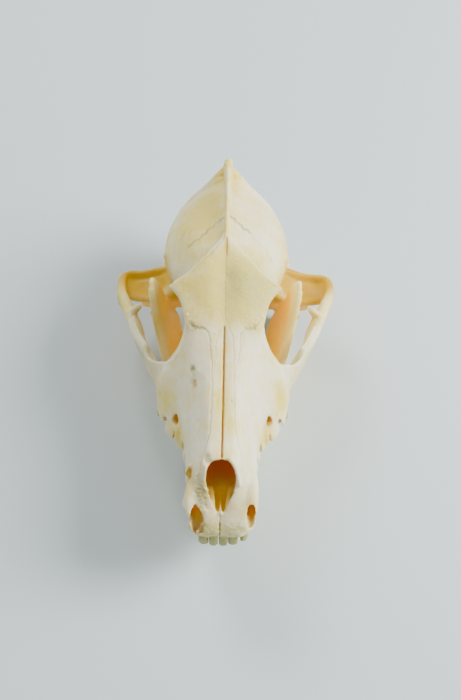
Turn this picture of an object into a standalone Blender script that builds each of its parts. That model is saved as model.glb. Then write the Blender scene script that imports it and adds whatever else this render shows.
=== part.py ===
"""A coyote skull: the cranium, the two loose halves of the lower jaw, and the teeth that are left.

Every point below is in millimetres in the palate's own frame: x to the side, y from the nose (minus)
to the back of the head (plus), z up from the edge of the upper tooth sockets. Only half of the skull
is written down, and the other half is its mirror image. At the end everything is tipped nose up,
to how the skull stands on its lower jaw, with the world's z = 0 as the table.
"""

import math

import bmesh
import bpy
import numpy as np
from mathutils import Matrix, Vector

MM = 0.001

# The voxel sizes at which the joined bone shells are fused, and the faces that are kept of each bone.
CRANIUM_VOXEL = 1.25
JAW_VOXEL = 1.0
CUTTER_VOXEL = 0.8
CRANIUM_FACES = 3760
JAW_FACES = 790

# The clear gap between a tooth and the wall of its socket.
SOCKET_GAP = 0.35

# Where the lower jaw touches the table: (y, z) of the angular processes and of the belly of the jaw.
REAR_FOOT = (44.0, -15.6)
BELLY_FOOT = (-15.0, -27.7)
FOOT_WEAR = 0.6
TABLE_SIZE = (160, 260, 40)

# Cross-sections of the face, from the front of the snout to the front of the orbits. Each is a half
# outline as (x, z): along the top, down the side, round the tooth row and in to the middle of the palate.
FACE = [
    (-94.2, [
        (0, 0.4), (3.6, 0.4), (7, 0), (9.6, -0.6), (10.4, -1.6),
        (9.8, -2.8), (6.6, -3.2), (3, -3.2), (0, -3.2),
    ]),
    (-92.0, [
        (0, 3), (4.4, 3.6), (8.8, 3.4), (11.6, 2.6), (12.9, 0),
        (12.5, -2.2), (9, -2.8), (5, -2.4), (0, -2),
    ]),
    (-89.6, [
        (0, 5.4), (4.6, 6.6), (9, 6), (12.4, 4.4), (14.2, 1.4),
        (13.8, -1.2), (9.8, -2), (5, -1.2), (0, -0.6),
    ]),
    (-87.0, [
        (0, 8), (5, 9.2), (9.4, 8.4), (12.8, 6.4), (14.4, 3.4),
        (14.1, 0.2), (10, -0.8), (5, 0), (0, 0.6),
    ]),
    (-82.0, [
        (0, 15), (6, 15), (10.6, 12), (13.4, 8), (14.6, 4),
        (14.4, 0.5), (10.5, -0.5), (6, 1.5), (0, 2),
    ]),
    (-76.0, [
        (0, 24.5), (6, 23.5), (10.5, 18), (13.2, 11.5), (14.4, 5),
        (14.3, 0.5), (11, 0), (6, 2), (0, 2.5),
    ]),
    (-66.0, [
        (0, 27), (6, 26), (10.6, 20.5), (13.2, 13), (14.8, 5.5),
        (15, 0.5), (12, 0), (7, 2.5), (0, 3),
    ]),
    (-56.0, [
        (0, 29.5), (6, 28.6), (11, 22.5), (13.8, 14), (15.6, 6),
        (16, 0.5), (13, 0), (8, 3), (0, 3.5),
    ]),
    (-48.0, [
        (0, 31.5), (6, 31), (11.5, 25), (15, 16), (17.5, 7),
        (18.4, 0.5), (15, 0), (9, 3.5), (0, 4),
    ]),
    (-40.0, [
        (0, 33.5), (6, 33), (12.5, 27.5), (17, 18), (22, 8),
        (24.3, 0.5), (19, 0), (10, 4), (0, 4.5),
    ]),
    (-32.0, [
        (0, 36), (6, 35.5), (14, 30.5), (20, 21), (26.5, 10),
        (27.3, 1), (22, 0), (11, 4), (0, 4.5),
    ]),
    (-22.0, [
        (0, 39.5), (6, 39.5), (15, 35.5), (22, 27), (28.5, 16),
        (28.6, 4), (24, 0.5), (12, 4), (0, 4.5),
    ]),
    (-13.0, [
        (0, 43.5), (7, 43.8), (16, 41.2), (18.8, 31), (23.4, 20.6),
        (28.2, 13), (24, 3), (12, 4), (0, 5),
    ]),
]

# Cross-sections of the forehead and the braincase, from inside the face to the back of the head. The
# third point of each is the brow: it makes the postorbital process, then the temporal line.
BRAINCASE = [
    (-22.0, [(0, 39.0), (6, 39), (11, 37), (12.5, 34), (13, 28), (13, 22), (12, 12), (9, 5), (0, 5)]),
    (-12.0, [
        (0, 44), (7, 44.5), (16.4, 41.8), (16.2, 39.3), (14, 34),
        (13, 25), (12, 14), (9, 5), (0, 6),
    ]),
    (-4.0, [
        (0, 47.5), (8, 48.6), (18.4, 44.9), (18, 42.4), (14, 38),
        (12, 28), (11.5, 16), (8.5, 7), (0, 9),
    ]),
    (2.0, [
        (0, 50), (8.5, 51.5), (21.2, 46.6), (20.8, 43.8), (13.8, 39),
        (12.2, 29), (11.5, 17), (8.5, 8), (0, 10),
    ]),
    (5.5, [
        (0, 51.5), (9, 53.2), (23.8, 46.8), (23.4, 44.3), (15.2, 40),
        (13, 30), (11.5, 18), (8.5, 8), (0, 11),
    ]),
    (8.5, [
        (0, 53), (8, 54.3), (17.2, 50), (18.4, 45), (16.2, 39.5),
        (14.6, 30), (12.2, 18), (9, 8.5), (0, 11),
    ]),
    (12.5, [
        (0, 54.8), (6.5, 55.4), (12, 53.2), (16.4, 46.5), (17.4, 39),
        (17, 30), (14, 18), (9.5, 9), (0, 11),
    ]),
    (19.0, [
        (0, 56.6), (3.2, 56.8), (6.5, 55.4), (14.6, 49.6), (20, 41),
        (21, 31), (17, 18), (11, 9.5), (0, 10),
    ]),
    (27.0, [
        (0, 57.5), (1.2, 57.2), (4.5, 55.2), (15.5, 50), (23, 41),
        (24.4, 31), (20.5, 18), (13, 9.5), (0, 9),
    ]),
    (40.0, [
        (0, 57.0), (2, 56), (8, 54.2), (19, 48.8), (26.2, 40),
        (28.2, 30), (24.8, 18), (15, 10), (0, 8.5),
    ]),
    (52.0, [
        (0, 55.5), (2, 54.8), (8, 52.5), (18.6, 46.8), (26, 38.5),
        (28.3, 29.5), (26, 18), (16, 10), (0, 8.5),
    ]),
    (64.0, [
        (0, 53.5), (2, 52.8), (8, 50.4), (17.4, 44.6), (24.4, 36.4),
        (27, 28), (25, 17), (16, 9.5), (0, 9),
    ]),
    (74.0, [
        (0, 51), (2, 50.2), (7, 47.6), (14.6, 42), (20.8, 35.4),
        (24, 27.4), (22, 17), (14, 10), (0, 10),
    ]),
    (81.0, [
        (0, 47), (2, 46.4), (5.5, 44), (10.6, 39.4), (15.2, 33.4),
        (17.4, 26.5), (14.4, 18), (9, 13), (0, 12),
    ]),
]

# Straps of bone, each row as (x, y, z, height, thickness, lean in degrees).
CHEEK_ARCH = [
    (21.0, -28.0, 13.0, 19.0, 7.0, 14),
    (26.4, -18.5, 14.6, 16.0, 6.0, 12),
    (32.8, -9.5, 15.2, 13.0, 5.0, -4),
    (38.0, 1.5, 16.4, 12.0, 4.2, -18),
    (42.0, 12.5, 18.0, 12.4, 4.0, -20),
    (45.2, 22.0, 17.6, 10.4, 4.0, -8),
    (48.2, 31.0, 16.6, 9.5, 4.2, 4),
    (48.4, 40.0, 15.6, 9.5, 4.4, 2),
    (46.0, 45.4, 15.0, 8.0, 3.8, 0),
    (38.0, 46.8, 14.6, 8.0, 3.4, 0),
    (27.0, 47.0, 17.4, 9.0, 4.6, 0),
]
ARCH_SHELF = [
    (20.0, 41.0, 20.0, 8.0, 19.0, 0),
    (28.0, 40.6, 16.0, 5.6, 18.0, 0),
    (36.0, 40.2, 13.6, 4.4, 16.5, 0),
    (43.0, 39.4, 13.6, 4.2, 14.0, 0),
    (47.5, 38.8, 15.0, 5.0, 10.5, 0),
]
BEHIND_JOINT = [
    (26.0, 47.6, 13.0, 9.0, 4.0, 0),
    (33.0, 47.6, 10.4, 9.0, 4.0, 0),
    (40.0, 46.6, 12.2, 5.0, 3.6, 0),
]
ORBIT_SPUR = [
    (42.6, 14.0, 21.0, 9.6, 3.8, 30),
    (40.0, 15.2, 23.4, 6.4, 3.2, 40),
    (37.8, 15.6, 24.8, 3.0, 2.4, 45),
]
SAGITTAL_CREST = [
    (0.0, 24.0, 56.0, 4.0, 2.6, 0),
    (0.0, 34.0, 57.4, 5.0, 2.2, 0),
    (0.0, 46.0, 57.6, 8.0, 2.2, 0),
    (0.0, 60.0, 55.8, 11.0, 2.6, 0),
    (0.0, 72.0, 52.8, 13.0, 3.2, 0),
    (0.0, 82.0, 50.0, 9.0, 4.2, 0),
    (0.0, 87.6, 50.6, 5.0, 4.6, 0),
    (0.0, 90.4, 52.0, 3.4, 3.6, 0),
]
NUCHAL_CREST = [
    (0.0, 86.0, 49.6, 5.0, 4.0, 0),
    (4.0, 84.0, 46.4, 5.4, 4.0, 0),
    (10.0, 80.0, 41.2, 6.0, 3.6, 0),
    (16.4, 76.2, 37.0, 6.0, 3.4, 0),
    (21.8, 72.0, 31.4, 6.0, 3.4, 0),
    (25.0, 66.6, 24.0, 6.0, 3.6, 0),
    (26.4, 61.0, 16.6, 6.4, 4.6, 0),
]
OCCIPUT_KEEL = [
    (0.0, 83.0, 46.0, 12.0, 4.0, 0),
    (0.0, 80.0, 34.0, 10.0, 3.0, 0),
    (0.0, 79.0, 29.0, 6.0, 3.0, 0),
]
OCCIPUT_PLATE = [
    (0.0, 81.5, 41.0, 18.0, 5.0, 0),
    (6.0, 79.6, 38.2, 14.0, 5.0, 0),
    (12.0, 76.6, 33.6, 11.0, 5.0, 0),
    (18.0, 72.6, 28.6, 9.0, 5.0, 0),
]
EAR_SWELLING = [
    (27.2, 50.0, 16.0, 7.0, 5.0, 0),
    (27.4, 57.0, 14.0, 8.0, 6.0, 0),
    (24.6, 64.0, 12.0, 10.0, 6.0, 0),
]
PTERYGOID = [
    (9.6, -10.0, 6.0, 8.0, 3.0, 0),
    (8.8, 0.0, 5.0, 10.0, 2.6, 0),
    (8.6, 9.0, 4.6, 9.0, 2.4, 0),
    (9.0, 16.0, 3.6, 6.0, 2.2, 0),
    (9.4, 20.0, 1.4, 2.6, 2.0, 0),
]
BESIDE_CONDYLE = [
    (18.6, 70.0, 14.0, 8.0, 7.0, 0),
    (19.6, 71.6, 8.0, 6.0, 5.0, 0),
    (20.0, 72.4, 2.6, 4.0, 3.2, 0),
]
CANINE_SWELLING = [
    (12.2, -88.0, 3.6, 6.0, 5.0, 0),
    (12.4, -83.0, 6.4, 8.6, 6.4, 0),
    (12.2, -77.0, 10.4, 8.6, 6.4, 0),
    (11.6, -70.0, 13.6, 6.6, 5.8, 0),
]
CARNASSIAL_SWELLING = [
    (18.0, -45.4, 0.8, 4.6, 4.4, 0),
    (18.4, -45.0, 5.0, 5.0, 4.6, 0),
    (18.0, -43.0, 10.0, 3.0, 3.0, 0),
]

# Balls of bone: centre, radii.
BALLS = {
    "ear_bulla": ((14.6, 52.0, 6.4), (8.8, 12.4, 8.6)),
    "occipital_condyle": ((8.6, 80.0, 15.4), (5.0, 6.0, 6.6)),
}

# What is cut away. The nose hole and cavity run from the open front to under the forehead.
NOSE_CAVITY = [
    (-93.0, [(0, 14), (0.9, 14), (1.0, 11), (0.8, 8.4), (0, 8)]),
    (-89.0, [(0, 18), (1.8, 18), (2.0, 11), (1.2, 6.8), (0, 6.4)]),
    (-85.5, [(0, 27), (3.0, 27), (3.6, 12), (2.2, 6), (0, 5.4)]),
    (-81.5, [(0, 31), (4.6, 31), (5.8, 13), (3.6, 5.8), (0, 5)]),
    (-77.6, [(0, 30), (4.4, 30), (6.2, 14), (4.2, 6), (0, 5.2)]),
    (-74.4, [(0, 23.6), (4.0, 22), (6.5, 14), (4.6, 6.2), (0, 5.4)]),
    (-62.0, [(0, 25), (5, 24), (7.2, 15), (5, 6.8), (0, 6)]),
    (-44.0, [(0, 29.4), (5, 28.4), (8, 18), (6, 8.6), (0, 7.6)]),
    (-28.0, [(0, 33.6), (4.6, 32.6), (7.6, 22), (6, 12), (0, 11)]),
]
BRAIN_HOLLOW = [
    (24.0, [(0, 48), (6, 46), (11, 36), (9, 24), (0, 18)]),
    (36.0, [(0, 52.6), (12, 48), (22, 36), (19, 20), (0, 13.4)]),
    (50.0, [(0, 51), (13, 46), (24, 33), (20, 19), (0, 13)]),
    (62.0, [(0, 47), (10, 43), (20, 31), (17, 19), (0, 13.6)]),
    (72.0, [(0, 38), (7, 36), (13, 28), (11, 19), (0, 15)]),
    (76.0, [(0, 30.5), (5.4, 28.6), (8.6, 23), (6, 16), (0, 14.4)]),
    (92.0, [(0, 30.5), (5.4, 28.6), (8.6, 23), (6, 16), (0, 12.4)]),
]
THROAT = [
    (-11.0, [(0, 4.6), (3.5, 4), (5.5, 2.4), (5.4, -4), (0, -4)]),
    (-4.0, [(0, 7.6), (4.6, 7), (6.8, 3), (6.8, -6), (0, -6)]),
    (26.0, [(0, 7.6), (4.8, 7), (7.2, 2), (7.2, -6), (0, -6)]),
]
ROUND_CUTS = {
    "orbit": ((26.2, -9.4, 26.0), (9.6, 8.4, 11.6)),
    "orbit_floor": ((22.0, -4.0, 8.0), (8.6, 12.0, 8.0)),
    "shelf_hollow": ((37.0, 38.0, 21.4), (9.6, 9.0, 7.2)),
    "joint_hollow": ((29.8, 38.6, 8.4), (15.6, 5.4, 5.0)),
    "palate_slit": ((3.4, -79.6, 2.0), (1.0, 3.8, 5.0)),
    "sight_nerve_hole": ((13.0, 9.0, 24.0), (5.0, 1.8, 1.8)),
    "orbit_fissure": ((14.6, 14.6, 19.6), (5.4, 2.0, 2.2)),
}
TUBE_CUTS = {
    "cheek_hole": [
        (14.8, -53.0, 10.4, 4.8, 4.2, 10),
        (16.6, -42.6, 11.8, 5.4, 4.6, 10),
        (18.2, -30.0, 13.6, 5.0, 4.0, 0),
    ],
    "ear_hole": [
        (32.0, 51.5, 13.6, 5.6, 6.0, 0),
        (24.0, 52.0, 13.0, 5.2, 5.6, 0),
        (17.0, 52.5, 11.0, 4.0, 4.0, 0),
    ],
}
NOSE_TO_THROAT = [
    (0.0, -32.0, 17.0, 9.0, 9.0, 0),
    (0.0, -20.0, 14.0, 9.0, 10.0, 0),
    (0.0, -10.0, 8.6, 8.0, 10.0, 0),
    (0.0, -4.0, 4.0, 7.0, 11.0, 0),
]
# Damage on the animal's right only: two worn pits in the cheek, and a broken socket wall.
RIGHT_ROUND_CUTS = {
    "upper_pit": ((-13.4, -32.0, 32.2), (1.5, 2.6, 2.4)),
    "lower_pit": ((-13.4, -37.2, 29.6), (1.4, 2.2, 2.2)),
    "socket_wall": ((-17.2, -63.0, 2.6), (2.6, 7.4, 3.6)),
    "broken_wall": ((-16.6, -77.0, 5.0), (5.0, 7.0, 9.0)),
    "canine_wall": ((-16.4, -89.6, 1.0), (3.6, 7.4, 7.6)),
    "nasal_tip": ((-6.4, -75.4, 25.4), (2.0, 3.4, 3.0)),
}

# Empty sockets, as rows along each root: (x, y, z, fore-and-aft width, side width, lean).
LEFT_CANINE_SOCKET = [
    (12.4, -91.6, 0.8, 4.6, 2.6, 0),
    (12.6, -88.4, 4.4, 6.2, 3.4, 0),
    (12.4, -84.0, 6.8, 5.8, 3.8, 0),
    (12.0, -77.6, 9.0, 5.2, 4.2, 0),
    (11.4, -72.0, 10.6, 3.6, 3.4, 0),
]
RIGHT_CANINE_SOCKET = [
    (-8.8, -93.4, -0.6, 6.0, 4.4, 0),
    (-9.2, -90.0, 3.2, 6.6, 5.2, 0),
    (-10.0, -85.6, 5.8, 5.6, 5.2, 0),
    (-10.8, -78.0, 8.6, 5.2, 4.6, 0),
    (-11.2, -72.0, 10.4, 3.6, 3.4, 0),
]
UPPER_SOCKETS = {
    "premolar_1": [(14.6, -77.0, -3.0, 4.0, 3.4, 0), (13.6, -74.4, 5.0, 2.8, 2.6, 0)],
    "premolar_2_front": [(15.4, -69.8, -3.0, 4.0, 3.2, 0), (14.2, -69.0, 6.0, 2.8, 2.4, 0)],
    "premolar_2_rear": [(15.6, -64.2, -3.0, 4.2, 3.4, 0), (14.4, -63.6, 6.0, 2.8, 2.4, 0)],
    "premolar_3_front": [(16.2, -58.4, -3.0, 4.4, 3.4, 0), (15.0, -57.8, 6.0, 3.0, 2.4, 0)],
    "premolar_3_rear": [(17.2, -51.6, -3.0, 4.8, 3.8, 0), (15.8, -51.0, 6.4, 3.0, 2.6, 0)],
    "premolar_4_front": [(20.6, -45.2, -3.0, 5.6, 4.0, 0), (18.8, -44.4, 7.0, 3.2, 2.8, 0)],
    "premolar_4_inner": [(16.4, -42.6, -3.0, 4.4, 4.2, 0), (16.4, -42.0, 5.0, 2.8, 2.6, 0)],
    "premolar_4_rear": [(25.2, -35.0, -3.0, 8.4, 4.4, 0), (23.6, -34.4, 7.0, 5.0, 3.0, 0)],
}
LOWER_SOCKETS = {
    "canine": [
        (8.6, -86.0, -4.0, 9.6, 6.8, 0),
        (8.6, -80.0, -10.0, 8.6, 6.0, 0),
        (9.0, -72.0, -15.0, 4.0, 3.4, 0),
    ],
    "premolar_1": [(10.6, -74.0, -4.0, 3.8, 3.2, 0), (10.8, -72.4, -12.0, 2.6, 2.4, 0)],
}

# The lower jaw: its body, its flange behind the teeth, its joint head and its rear hook.
JAW_BODY = [
    (4.2, -84.6, -12.6, 7.6, 7.6, 10),
    (5.2, -79.0, -14.2, 13.0, 9.6, 8),
    (6.4, -70.0, -16.0, 17.0, 10.6, 4),
    (9.2, -58.0, -17.6, 18.0, 8.2, 0),
    (11.6, -44.0, -18.8, 19.6, 7.6, -3),
    (14.2, -30.0, -18.8, 20.2, 8.0, -6),
    (17.2, -15.0, -17.6, 20.4, 8.0, -9),
    (19.4, 0.0, -14.6, 20.2, 7.2, -12),
    (21.4, 13.0, -11.4, 20.0, 5.8, -12),
    (23.0, 25.0, -8.0, 18.0, 4.8, -10),
    (24.8, 35.0, -5.0, 12.0, 4.2, -4),
]
JAW_LEAF = [
    (21.6, 15.5, -8.0, 35.0, 4.6, -4),
    (23.6, 17.0, 2.0, 31.6, 3.8, -10),
    (25.2, 17.6, 10.0, 26.8, 3.2, -13),
    (26.8, 18.2, 16.0, 23.0, 2.9, -14),
    (28.6, 18.8, 22.0, 18.8, 2.7, -13),
    (31.0, 20.0, 29.0, 13.4, 2.6, -10),
    (32.8, 20.9, 33.4, 8.4, 2.6, -5),
    (33.5, 21.4, 35.6, 4.0, 2.2, 0),
]
JAW_LEAF_EDGE = [
    (22.6, -4.0, -7.0, 5.0, 5.2, 0),
    (25.6, 1.6, 2.0, 4.4, 4.8, 0),
    (28.3, 6.0, 12.0, 3.8, 4.2, 0),
    (30.7, 10.2, 22.0, 3.4, 3.8, 0),
    (32.2, 14.2, 29.4, 3.2, 3.4, 0),
    (33.2, 17.6, 33.6, 3.0, 3.2, 0),
]
JAW_JOINT_HEAD = [
    (18.0, 38.2, 7.2, 3.4, 4.0, 0),
    (21.4, 38.2, 7.4, 5.4, 5.6, 0),
    (27.6, 38.0, 7.6, 6.4, 6.4, 0),
    (33.6, 38.0, 7.6, 6.4, 6.4, 0),
    (39.2, 38.2, 7.2, 4.6, 5.0, 0),
]
JAW_NECK = [
    (23.6, 27.0, -6.0, 17.0, 4.8, 0),
    (26.6, 31.8, -0.6, 12.0, 8.0, 0),
    (30.2, 36.9, 4.6, 7.0, 13.2, 0),
]
JAW_HOOK = [
    (22.4, 27.0, -13.4, 8.0, 4.6, 0),
    (24.0, 36.0, -14.6, 5.8, 4.8, 0),
    (25.2, 43.0, -13.6, 5.4, 5.0, 0),
    (25.8, 48.6, -10.8, 3.8, 3.8, 0),
    (25.8, 51.0, -7.8, 1.6, 1.8, 0),
]
JAW_CUTS = {
    "chewing_muscle_hollow": ((32.4, 17.0, 0.0), (7.4, 10.0, 13.0)),
    "nerve_hole_front": ((11.8, -68.0, -17.0), (3.4, 2.0, 1.6)),
    "nerve_hole_rear": ((13.4, -56.0, -17.4), (3.4, 1.6, 1.3)),
    "nerve_hole_inner": ((18.6, 15.0, -8.0), (3.6, 3.0, 1.8)),
}
SYMPHYSIS_GAP = 0.4

# Teeth as (name, x, y, z of the neck, crown height, length along the row, width across it, root depth,
# the row's turn from straight back towards the side in degrees, forward slant of the crown, sides of
# the section, cusps), where a cusp is (place along the tooth from -1 to 1, share of the height).
INCISOR = [(-1.0, 0.86), (-0.5, 0.96), (0.0, 1.0), (0.5, 0.96), (1.0, 0.86)]
PREMOLAR = [(-1.0, 0.16), (-0.1, 1.0), (0.5, 0.42), (1.0, 0.2)]
CARNASSIAL = [(-1.0, 0.4), (-0.5, 0.74), (-0.3, 0.6), (0.1, 1.0), (0.45, 0.4), (1.0, 0.36)]
MOLAR = [(-1.0, 0.6), (-0.45, 1.0), (0.0, 0.6), (0.45, 0.9), (1.0, 0.5)]
UPPER_TEETH = [
    ("upper_incisor_1", 1.9, -92.5, -2.8, 4.8, 2.8, 3.8, 4.0, 88, 0.36, 6, INCISOR),
    ("upper_incisor_2", 6.4, -91.9, -2.8, 4.8, 3.6, 4.0, 4.0, 80, 0.34, 6, INCISOR),
    ("upper_incisor_3", 10.6, -90.4, -2.6, 4.4, 2.4, 3.4, 3.2, 62, 0.3, 6, INCISOR),
    ("upper_molar_1", 23.2, -25.0, 0.2, 5.0, 11.0, 11.6, 3.6, -12, 0.0, 8, MOLAR),
    ("upper_molar_2", 22.6, -15.6, 2.2, 4.0, 5.6, 7.6, 3.4, -12, 0.0, 8, MOLAR),
]
LOWER_TEETH = [
    ("lower_incisor_1", 1.7, -83.6, -8.8, 3.8, 2.2, 3.0, 3.6, 84, 0.2, 6, INCISOR),
    ("lower_incisor_2", 4.3, -83.0, -8.6, 4.0, 2.3, 3.0, 3.6, 70, 0.2, 6, INCISOR),
    ("lower_incisor_3", 6.9, -81.6, -8.4, 4.2, 2.4, 3.2, 3.4, 54, 0.2, 6, INCISOR),
    ("lower_premolar_2", 7.2, -65.0, -8.8, 4.4, 8.0, 3.6, 4.6, 13, 0.0, 8, PREMOLAR),
    ("lower_premolar_3", 9.8, -55.4, -9.4, 4.8, 8.8, 3.8, 4.8, 13, 0.0, 8, PREMOLAR),
    ("lower_premolar_4", 12.1, -44.6, -9.6, 5.8, 9.8, 4.4, 5.0, 12, 0.0, 8, PREMOLAR),
    ("lower_molar_1", 15.4, -29.6, -9.2, 7.6, 17.0, 6.0, 5.6, 13, 0.0, 8, CARNASSIAL),
    ("lower_molar_2", 18.9, -16.0, -8.4, 3.6, 7.6, 5.4, 4.4, 13, 0.0, 8, MOLAR),
    ("lower_molar_3", 20.5, -9.0, -8.0, 2.2, 4.0, 3.8, 3.4, 12, 0.0, 8, MOLAR),
]
# The third upper incisor is lost on the animal's right, where the socket wall is broken.
LOST_TEETH = ("upper_incisor_3_right",)
COLOURS = {
    "cranium": ((0.86, 0.80, 0.64), 0.5),
    "lower_jaw_left": ((0.84, 0.74, 0.52), 0.5),
    "lower_jaw_right": ((0.84, 0.74, 0.52), 0.5),
    "tooth": ((0.82, 0.82, 0.74), 0.3),
}


def smooth_path(rows, steps):
    """A Catmull-Rom curve through the rows, with this many steps to each stretch."""
    known = np.asarray(rows, float)
    padded = np.vstack([2 * known[0] - known[1], known, 2 * known[-1] - known[-2]])
    stretches = []
    for i in range(len(known) - 1):
        a, b, c, d = padded[i : i + 4]
        t = np.linspace(0.0, 1.0, steps, endpoint=False)[:, None]
        cubic = 3 * b - a - 3 * c + d
        stretches.append(0.5 * (2 * b + (c - a) * t + (2 * a - 5 * b + 4 * c - d) * t**2 + cubic * t**3))
    return np.vstack([*stretches, known[-1:]])


def skin(bm, rings):
    """Adds a closed shell through rings of points, with a fan at each end."""
    loops = [[bm.verts.new(point) for point in ring] for ring in rings]
    count = len(loops[0])
    faces = []
    for near, far in zip(loops, loops[1:]):
        for i in range(count):
            j = (i + 1) % count
            faces.append(bm.faces.new((near[i], near[j], far[j], far[i])))
    for loop in (loops[0], loops[-1]):
        hub = bm.verts.new(sum((v.co for v in loop), Vector()) / count)
        for i in range(count):
            faces.append(bm.faces.new((loop[i], loop[(i + 1) % count], hub)))
    bmesh.ops.recalc_face_normals(bm, faces=faces)


def section_rings(stations, round_steps=4, along_steps=3):
    """Rings across y: each half outline is rounded, mirrored, and carried smoothly from one to the next."""
    rows = smooth_path([[y, *np.ravel(half)] for y, half in stations], along_steps)
    rings = []
    for row in rows:
        half = smooth_path(row[1:].reshape(-1, 2), round_steps)
        mirrored = half[-2:0:-1] * (-1, 1)
        outline = np.vstack([half, mirrored])
        rings.append(np.column_stack([outline[:, 0], np.full(len(outline), row[0]), outline[:, 1]]))
    return rings


def strap_rings(rows, across=None, sides=12, steps=4, squareness=0.75):
    """Rings along a path of (x, y, z, height, thickness, lean). The thickness runs level and square to
    the path, or along `across` where that is given, and lean turns the section about the path."""
    path = smooth_path(rows, steps)
    forward = np.gradient(path[:, :3], axis=0)
    forward /= np.linalg.norm(forward, axis=1)[:, None]
    angle = np.arange(sides) * 2 * math.pi / sides
    side_share = np.sign(np.cos(angle)) * np.abs(np.cos(angle)) ** squareness
    high_share = np.sign(np.sin(angle)) * np.abs(np.sin(angle)) ** squareness
    rings = []
    for (x, y, z, height, thickness, lean), ahead in zip(path, forward):
        level = np.cross(ahead, (0, 0, 1)) if across is None else np.asarray(across, float)
        level = level - ahead * (level @ ahead)
        level /= np.linalg.norm(level)
        upward = np.cross(level, ahead)
        c, s = math.cos(math.radians(lean)), math.sin(math.radians(lean))
        wide, tall = c * level + s * upward, c * upward - s * level
        offsets = np.outer(side_share, wide) * thickness / 2 + np.outer(high_share, tall) * height / 2
        rings.append(np.array((x, y, z)) + offsets)
    return rings


def ball_rings(centre, radii, sides=16, levels=9):
    """Rings of an ellipsoid, from its lowest to its highest."""
    rings = []
    for polar in np.linspace(0.12, math.pi - 0.12, levels):
        angle = np.arange(sides) * 2 * math.pi / sides
        level = np.full(sides, -math.cos(polar))
        shape = np.column_stack([np.cos(angle) * math.sin(polar), np.sin(angle) * math.sin(polar), level])
        rings.append(np.asarray(centre) + shape * radii)
    return rings


def tooth_rings(tooth, crown_way, gap=0.0):
    """Rings of a tooth from its root tip to its cusps, with `gap` of clearance added all round."""
    x, y, z, height, length, width, root, turn, slant, sides, cusps = tooth[1:]
    a = math.radians(turn)
    along, across = np.array((math.sin(a), math.cos(a))), np.array((math.cos(a), -math.sin(a)))
    angle = (np.arange(sides) + 0.5) * 2 * math.pi / sides
    place, side = np.cos(angle), np.sin(angle)
    cusp = np.interp(place, *zip(*cusps)) * height
    narrow = 0.34 if cusps is not MOLAR else 0.74
    levels = [
        (np.full(sides, -root - gap), 0.5, 0.5),
        (np.full(sides, -root * 0.4), 0.84, 0.84),
        (np.full(sides, height * 0.06), 0.92, 0.92),
        (cusp * 0.3, 1.0, 1.0),
        (cusp * 0.7, 0.94, (1 + narrow) / 2),
        (cusp + gap, 0.86, narrow),
    ]
    rings = []
    for level, long_share, wide_share in levels:
        u = place * (length / 2 * long_share + gap)
        v = side * (width / 2 * wide_share + gap)
        flat = np.array((x, y)) + np.outer(u, along) + np.outer(v, across)
        flat[:, 1] -= slant * level
        rings.append(np.column_stack([flat, z + crown_way * level]))
    return rings


def mirrored(rings):
    return [ring * (-1, 1, 1) for ring in rings]


def shells_object(name, shells, voxel):
    """One object of overlapping closed shells, fused into one skin by a voxel remesh."""
    bm = bmesh.new()
    for rings in shells:
        skin(bm, [ring * MM for ring in rings])
    mesh = bpy.data.meshes.new(name)
    bm.to_mesh(mesh)
    bm.free()
    made = bpy.data.objects.new(name, mesh)
    bpy.context.scene.collection.objects.link(made)
    fuse = made.modifiers.new("fuse", "REMESH")
    fuse.mode = "VOXEL"
    fuse.voxel_size = voxel * MM
    return made


def plain_object(name, shells):
    """One object of closed shells that stay as they are drawn."""
    bm = bmesh.new()
    for rings in shells:
        skin(bm, [ring * MM for ring in rings])
    mesh = bpy.data.meshes.new(name)
    bm.to_mesh(mesh)
    bm.free()
    made = bpy.data.objects.new(name, mesh)
    bpy.context.scene.collection.objects.link(made)
    return made


def hide(helper):
    helper.hide_render = True
    helper.display_type = "WIRE"
    return helper


def cut(target, cutter, name):
    boolean = target.modifiers.new(name, "BOOLEAN")
    boolean.operation = "DIFFERENCE"
    boolean.solver = "EXACT"
    boolean.object = cutter


def finish_bone(bone, cutter, voxel, faces):
    """Cuts the hollows, fuses again, softens the skin like grown bone, and thins its faces."""
    cut(bone, cutter, "hollows")
    again = bone.modifiers.new("fuse_again", "REMESH")
    again.mode = "VOXEL"
    again.voxel_size = voxel * MM
    soften = bone.modifiers.new("soften", "SMOOTH")
    soften.factor = 0.5
    soften.iterations = 3
    bpy.context.view_layer.update()
    evaluated = bone.evaluated_get(bpy.context.evaluated_depsgraph_get())
    dense = bpy.data.meshes.new_from_object(evaluated)
    bone.modifiers.clear()
    bone.data = dense
    dense.calc_loop_triangles()
    thin = bone.modifiers.new("thin_faces", "DECIMATE")
    thin.ratio = faces / len(dense.loop_triangles)


def material(name, colour, roughness):
    made = bpy.data.materials.new(name)
    made.use_nodes = True
    shader = made.node_tree.nodes["Principled BSDF"]
    shader.inputs["Base Color"].default_value = (*colour, 1.0)
    shader.inputs["Roughness"].default_value = roughness
    shader.inputs["Metallic"].default_value = 0.0
    return made


def both(shells):
    return [side for rings in shells for side in (rings, mirrored(rings))]


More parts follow.
